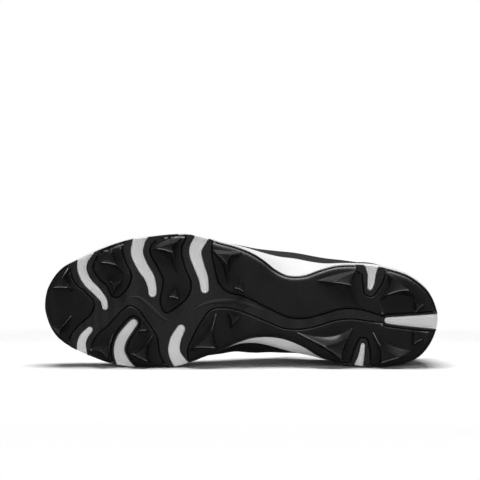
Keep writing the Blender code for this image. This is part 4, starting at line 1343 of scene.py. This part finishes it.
class CLEAT_OT_overlays(bpy.types.Operator):
    """Adds the toe rand, the eyestay and the heel counter"""
    bl_idname = "cleat.overlays"
    bl_label = "Overlays"

    def execute(self, context):
        materials = [made_once(smooth_synthetic, context.scene.cleat_colours.overlay)]
        overlay("toe_rand", 0, RAND_LAST_RIB, lambda n: 0.0, rand_top, 46, 6, materials)
        overlay("eyestay", *STAY_RIBS, stay_low, lambda n: 1.0, 44, 8, materials)
        overlay("heel_counter", COUNTER_FIRST_RIB, LAST_RIB, lambda n: 0.0, counter_top, 44, 10, materials)
        return {"FINISHED"}


# Stitch lines: first and last rib, the edge they follow, and how far above it
SEAMS = (
    Seam(0.05, 4.45, rand_top, -SEAM_INSET), Seam(11.9, 15.95, counter_top, -SEAM_INSET),
    Seam(5.4, 10.15, stay_low, STAY_SEAM_INSET), Seam(5.4, 10.15, lambda n: THROAT_SEAM, 0))


def seam_lines():
    """Stitch lines as (side, places), each place a rib and a height."""
    lines = []
    for seam in SEAMS:
        ribs = [seam.first + (seam.last - seam.first) * k / SEAM_STEPS for k in range(SEAM_STEPS + 1)]
        line = [(rib, seam.edge(rib) + seam.away) for rib in ribs]
        lines += [(-1, line), (1, line)]
    return lines


class CLEAT_OT_seams(bpy.types.Operator):
    """Adds the stitches along the overlays"""
    bl_idname = "cleat.seams"
    bl_label = "Seams"

    def execute(self, context):
        sizes, colours = context.scene.cleat_sizes, context.scene.cleat_colours
        bm = bmesh.new()
        for side, line in seam_lines():
            points = [upper_point(side, *place, STAY_FACE) for place in line]
            ways = np.cumsum([0] + [(b - a).length for a, b in zip(points, points[1:])])
            count = int(ways[-1] / sizes.stitch_pitch)
            for k in range(count):
                spots = []
                for end in STITCH_ENDS:
                    way = (k + end) * sizes.stitch_pitch
                    place = [np.interp(way, ways, [point[axis] for point in points]) for axis in range(3)]
                    spots.append(Vector(place))
                middle = (spots[0] + spots[1]) / 2
                run = spots[1] - spots[0]
                turn = run.to_track_quat("X", "Z").to_matrix().to_4x4()
                size = Matrix.Diagonal((run.length / 2, sizes.stitch_width / 2, sizes.stitch_width / 2, 1))
                bmesh.ops.create_uvsphere(
                    bm, u_segments=6, v_segments=4, radius=1, matrix=Matrix.Translation(middle) @ turn @ size)
        finished("stitches", bm, [made_once(sewing_thread, colours.thread)], None, ())
        return {"FINISHED"}


class CLEAT_OT_collar(bpy.types.Operator):
    """Adds the padded collar"""
    bl_idname = "cleat.collar"
    bl_label = "Collar"

    def execute(self, context):
        bm = bmesh.new()
        cuts = (len(COLLAR_ROLL) - 1) * COLLAR_CUTS
        roll = [between(COLLAR_ROLL, k / COLLAR_CUTS) for k in range(cuts + 1)]

        def place(side, u, v):
            number = COLLAR_FIRST_RIB + (LAST_RIB - COLLAR_FIRST_RIB) * u
            row = roll[round(v * cuts)]
            swell = COLLAR_START + (1 - COLLAR_START) * eased(u / COLLAR_EASE)
            spot = LAST.over(side, number, row.height, row.out * swell)
            return spot + Vector((0, 0, row.lift * swell))

        both_sides(bm, COLLAR_COLUMNS, cuts, place)
        materials = [made_once(brushed_lining, context.scene.cleat_colours.lining)]
        piece = finished("collar_lining", bm, materials, None, ())
        wall_modifier(piece, WALL / 4, -1)
        return {"FINISHED"}


TONGUE_RIBS = (5, 5.2, 5.6, 6, 6.5, 7, 7.5, 8, 8.5, 9, 9.5)
TONGUE_WRAP = (0.775, 0.88, 1)
TONGUE_DROP = 0.0016


def tongue_sections():
    """Rows of points across the tongue, from the throat's end to the free flap's tip."""
    sections = []
    for number in TONGUE_RIBS:
        lateral = [LAST.over(-1, number, height, -TONGUE_DROP) for height in TONGUE_WRAP]
        medial = [LAST.over(1, number, height, -TONGUE_DROP) for height in TONGUE_WRAP]
        sink = Vector((0, 0, -TONGUE_DROP))
        middle = [LAST.across(number, k / TONGUE_CROSS) + sink for k in range(1, TONGUE_CROSS)]
        if rib_row(number).gape == 0:
            middle = [lateral[-1]] * (TONGUE_CROSS - 1)
        sections.append(lateral + middle + medial[::-1])
    centre = len(sections[0]) // 2
    run = (sections[-1][centre] - sections[-3][centre]).normalized()
    base, move = sections[-1], Vector((0, 0, 0))
    turn = Matrix.Rotation(-TONGUE_CURL / len(FLAP_WIDTHS), 3, "Y")
    for width in FLAP_WIDTHS:
        run = turn @ run
        move += run * TONGUE_FLAP / len(FLAP_WIDTHS)
        sections.append([base[centre].lerp(point, width) + move for point in base])
    return sections


class CLEAT_OT_tongue(bpy.types.Operator):
    """Adds the padded tongue"""
    bl_idname = "cleat.tongue"
    bl_label = "Tongue"

    def execute(self, context):
        sizes, colours = context.scene.cleat_sizes, context.scene.cleat_colours
        sections = tongue_sections()
        rows, columns = len(sections) - 1, len(sections[0]) - 1
        bm = bmesh.new()
        sheet(bm, rows, columns, lambda u, v: sections[round(u * rows)][round(v * columns)])
        bmesh.ops.remove_doubles(bm, verts=bm.verts, dist=WELD)
        materials = [made_once(brushed_lining, colours.lining)]
        piece = finished("tongue_pad", bm, materials, None, ["tongue"])
        wall_modifier(piece, sizes.tongue_padding, -1)
        soft = piece.modifiers.new("Soft", "SUBSURF")
        soft.levels = soft.render_levels = 2
        return {"FINISHED"}


def eyelet_rows():
    """The ribs of the eyelets, from the lowest pair up."""
    step = (TOP_EYELET_RIB - FIRST_EYELET_RIB) / (EYELET_ROWS - 1)
    return [FIRST_EYELET_RIB + step * i for i in range(EYELET_ROWS)]


def lace_route(start):
    """Points of one half of the lace, with its local width at each: up through an eyelet, over the
    throat, under the far edge and on to the next eyelet."""
    rows = eyelet_rows()
    side = start
    route = []

    def pass_by(steps, rib):
        for step in steps:
            place = upper_point(side, rib + step.ahead, 1 - EYELET_INSET + step.up, step.lift)
            route.append((place, rib, side, step.width))

    for i, (low, high) in enumerate(zip(rows, rows[1:])):
        pass_by(LACE_OUT, low)
        over = LACE_OVER if (start > 0) == (i % 2 == 0) else LACE_UNDER
        for share in LACE_SHARES:
            number = low + (high - low) * (LACE_FROM + LACE_RUN * share)
            place = share if side < 0 else 1 - share
            normal = LAST.normal(-1, number, 1) * (1 - place) + LAST.normal(1, number, 1) * place
            lift = LACE_EDGE * (1 - share) ** LACE_FALL + LACE_CLEAR + over * math.sin(math.pi * share)
            spot = LAST.across(number, place) + normal.normalized() * lift
            route.append((spot, number, side if share < 0.5 else -side, 1.0))
        side = -side
        pass_by(LACE_IN, high)
    pass_by(LACE_END, rows[-1])
    return route


def flat_band(bm, points, widths, guides, sizes):
    """A flat lace along points: a thin rounded band whose width lies along the guides."""
    layer = bm.loops.layers.uv.verify()
    count = sizes.ring_sides
    rings = []
    for i, point in enumerate(points):
        run = (points[min(i + 1, len(points) - 1)] - points[max(i - 1, 0)]).normalized()
        wide = (guides[i] - run * guides[i].dot(run)).normalized()
        thick = run.cross(wide)
        half = sizes.lace_width * widths[i] / 2
        ring = []
        for k in range(count):
            turn = math.tau * k / count
            across = math.copysign(abs(math.cos(turn)) ** LACE_CORNERS[0], math.cos(turn))
            up = math.copysign(abs(math.sin(turn)) ** LACE_CORNERS[1], math.sin(turn))
            ring.append(point + wide * across * half + thick * up * sizes.lace_thickness / 2)
        rings.append(ring)
    ways = np.cumsum([0] + [(b - a).length for a, b in zip(points, points[1:])])
    for way, ring in zip(ways, stacked(bm, rings)):
        for k, vert in enumerate(ring):
            for loop in vert.link_loops:
                loop[layer].uv = (way, math.cos(math.tau * k / count) * sizes.lace_width / 2)


class CLEAT_OT_laces(bpy.types.Operator):
    """Adds the flat lace through its eyelets"""
    bl_idname = "cleat.laces"
    bl_label = "Laces"

    def execute(self, context):
        sizes, colours = context.scene.cleat_sizes, context.scene.cleat_colours
        bm = bmesh.new()
        for start in (-1, 1):
            route = lace_route(start)
            points = smooth_line([row[0] for row in route], LACE_STEP)
            marks = smooth_line([(index, row[3], 0) for index, row in enumerate(route)], 0.1)
            shares = nearest_shares(points, [row[0] for row in route])
            knots, spans = [mark.x for mark in marks], [mark.y for mark in marks]
            widths = [float(np.interp(share, knots, spans)) for share in shares]
            guides = []
            for share in shares:
                low = min(int(share), len(route) - 2)
                near, far = [guide_along(row[1], row[2]) for row in (route[low], route[low + 1])]
                guides.append(near.lerp(far, share - low))
            flat_band(bm, points, widths, guides, sizes)
        rib = eyelet_rows()[0]
        heights = (1 - EYELET_INSET, BAR_EDGE)
        bar = [upper_point(-1, rib, height, BAR_LIFT) for height in heights]
        bar += [LAST.across(rib, share) - Vector((0, 0, BAR_SINK)) for share in BAR_SHARES]
        bar += [upper_point(1, rib, height, BAR_LIFT) for height in reversed(heights)]
        points = smooth_line(bar, LACE_STEP)
        flat_band(bm, points, [BAR_WIDTH] * len(points), [guide_along(rib, -1)] * len(points), sizes)
        bmesh.ops.recalc_face_normals(bm, faces=bm.faces)
        materials = [made_once(woven_lace, colours.lace)]
        finished("laces_flat", bm, materials, math.radians(60), ["laces"])
        return {"FINISHED"}


def guide_along(number, side):
    """The direction along the throat's edge at a rib."""
    ahead, behind = LAST.point(side, number + GUIDE_PROBE, 1), LAST.point(side, number - GUIDE_PROBE, 1)
    return (ahead - behind).normalized()


def nearest_shares(points, knots):
    """Where each fine point lies between the knots it was smoothed from, as a rising number."""
    shares, low = [], 0
    for point in points:
        while low < len(knots) - 2 and (point - knots[low + 1]).length < TOUCHING:
            low += 1
        start, end = knots[low], knots[low + 1]
        total = (point - start).length + (point - end).length
        shares.append(low + ((point - start).length / total if total else 0.0))
    return shares


class CLEAT_OT_eyelets(bpy.types.Operator):
    """Adds the moulded rims of the eyelet holes"""
    bl_idname = "cleat.eyelets"
    bl_label = "Eyelets"

    def execute(self, context):
        sizes = context.scene.cleat_sizes
        bm = bmesh.new()
        bead = sizes.eyelet_hole * 0.3
        for number in eyelet_rows():
            for side in (-1, 1):
                centre = upper_point(side, number, 1 - EYELET_INSET, STAY_FACE)
                normal = LAST.normal(side, number, 1 - EYELET_INSET)
                turn = normal.to_track_quat("Z", "X").to_matrix().to_4x4()
                out = Matrix.Translation((sizes.eyelet_hole + bead, 0, 0))
                start = Matrix.Translation(centre) @ turn @ out @ Matrix.Rotation(math.pi / 2, 4, "X")
                made = bmesh.ops.create_circle(
                    bm, cap_ends=False, radius=bead, segments=8, matrix=start)["verts"]
                edges = list({edge for vert in made for edge in vert.link_edges})
                bmesh.ops.spin(
                    bm, geom=made + edges, cent=centre, axis=normal, angle=math.tau, steps=18,
                    use_merge=True, use_duplicate=False)
        bmesh.ops.remove_doubles(bm, verts=bm.verts, dist=WELD)
        bmesh.ops.recalc_face_normals(bm, faces=bm.faces)
        materials = [made_once(smooth_synthetic, context.scene.cleat_colours.overlay)]
        finished("eyelet_rims", bm, materials, None, ())
        return {"FINISHED"}


# The picture's side and the row of the shoe's middle in pixels, and the size of a pixel at the sole
FRAME_PIXELS = 480
PIXEL = 0.000753
SHOE_ROW = 310
SENSOR = 0.036
LIGHTS = (
    Lamp("overhead", (0, -0.02, 1.25), (0, -0.02, 0), (0.9, 0.6), 18),
    Lamp("front_fill", (0, -1.7, 0.3), (0, 0, 0.05), (1.2, 0.5), 7),
    Lamp("glint", (0, -0.75, 1.0), (0, 0, 0.05), (1.4, 0.35), 19))
AMBIENT = 0.09


class CLEAT_OT_stage(bpy.types.Operator):
    """Adds the floor, the lights and the camera"""
    bl_idname = "cleat.stage"
    bl_label = "Stage"

    def execute(self, context):
        scene, sizes, colours = context.scene, context.scene.cleat_sizes, context.scene.cleat_colours
        scene.view_settings.view_transform = "Standard"
        bm = bmesh.new()
        bmesh.ops.create_grid(bm, x_segments=1, y_segments=1, size=12)
        mesh = bpy.data.meshes.new("floor")
        bm.to_mesh(mesh)
        bm.free()
        mesh.materials.append(made_once(studio_floor, colours.floor))
        floor = bpy.data.objects.new("floor", mesh)
        scene.collection.objects.link(floor)
        floor.visible_glossy = False

        _, fill, glint = [self.light(scene, lamp) for lamp in LIGHTS]
        fill.visible_glossy = False
        glint.visible_diffuse = False

        world = bpy.data.worlds.new("studio")
        scene.world = world
        world.use_nodes = True
        nodes, links = world.node_tree.nodes, world.node_tree.links
        sky = nodes["Background"]
        sky.inputs["Color"].default_value = (AMBIENT, AMBIENT, AMBIENT, 1)
        seen = nodes.new("ShaderNodeBackground")
        seen.inputs["Color"].default_value = (1, 1, 1, 1)
        chooser = nodes.new("ShaderNodeMixShader")
        path = nodes.new("ShaderNodeLightPath")
        links.new(path.outputs["Is Camera Ray"], chooser.inputs["Fac"])
        links.new(sky.outputs["Background"], chooser.inputs[1])
        links.new(seen.outputs["Background"], chooser.inputs[2])
        links.new(chooser.outputs["Shader"], nodes["World Output"].inputs["Surface"])

        low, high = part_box("outsole")
        front = LAYING @ Vector((LENGTH / 2, 0, STUD_HEIGHT))
        height = front.z + (SHOE_ROW - FRAME_PIXELS / 2) * PIXEL
        camera_data = bpy.data.cameras.new("camera")
        camera_data.sensor_width = SENSOR * 1000
        camera_data.lens = SENSOR * 1000 * sizes.camera_distance / (FRAME_PIXELS * PIXEL)
        camera_data.clip_end = 50
        camera = bpy.data.objects.new("camera", camera_data)
        scene.collection.objects.link(camera)
        camera.location = ((low.x + high.x) / 2, front.y - sizes.camera_distance, height)
        camera.rotation_euler = (math.pi / 2, 0, 0)
        scene.camera = camera
        return {"FINISHED"}

    def light(self, scene, lamp):
        """A soft rectangular light that points at a spot."""
        data = bpy.data.lights.new(lamp.name, "AREA")
        data.shape = "RECTANGLE"
        data.size, data.size_y = lamp.size
        data.energy = lamp.power
        light = bpy.data.objects.new(lamp.name, data)
        scene.collection.objects.link(light)
        light.location = lamp.place
        run = Vector(lamp.aim) - Vector(lamp.place)
        light.rotation_euler = run.to_track_quat("-Z", "Y").to_euler()
        return light


class CLEAT_PT_parts(bpy.types.Panel):
    """Lists the pieces with their sizes and colours"""
    bl_label = "Baseball cleat"
    bl_idname = "CLEAT_PT_parts"
    bl_space_type = "VIEW_3D"
    bl_region_type = "UI"
    bl_category = "Cleat"

    def draw(self, context):
        for operator in OPERATORS:
            self.layout.operator(operator.bl_idname)
        for group in (context.scene.cleat_sizes, context.scene.cleat_colours):
            for name in group.bl_rna.properties.keys():
                if name not in ("rna_type", "name"):
                    self.layout.prop(group, name)


OPERATORS = (
    CLEAT_OT_outsole, CLEAT_OT_studs, CLEAT_OT_midsole, CLEAT_OT_insole, CLEAT_OT_upper, CLEAT_OT_overlays,
    CLEAT_OT_seams, CLEAT_OT_collar, CLEAT_OT_tongue, CLEAT_OT_eyelets, CLEAT_OT_laces, CLEAT_OT_stage)
CLASSES = (CleatSizes, CleatColours, *OPERATORS, CLEAT_PT_parts)


def register():
    """Registers the classes and puts their settings on the scene."""
    for item in CLASSES:
        bpy.utils.register_class(item)
    bpy.types.Scene.cleat_sizes = PointerProperty(type=CleatSizes)
    bpy.types.Scene.cleat_colours = PointerProperty(type=CleatColours)


def unregister():
    """Takes them off again."""
    del bpy.types.Scene.cleat_colours
    del bpy.types.Scene.cleat_sizes
    for item in reversed(CLASSES):
        bpy.utils.unregister_class(item)


def main():
    """Builds the shoe and its stage."""
    register()
    bpy.ops.cleat.outsole()
    bpy.ops.cleat.studs()
    bpy.ops.cleat.midsole()
    bpy.ops.cleat.insole()
    bpy.ops.cleat.upper()
    bpy.ops.cleat.overlays()
    bpy.ops.cleat.seams()
    bpy.ops.cleat.collar()
    bpy.ops.cleat.tongue()
    bpy.ops.cleat.eyelets()
    bpy.ops.cleat.laces()
    bpy.ops.cleat.stage()


if __name__ == "__main__":
    main()
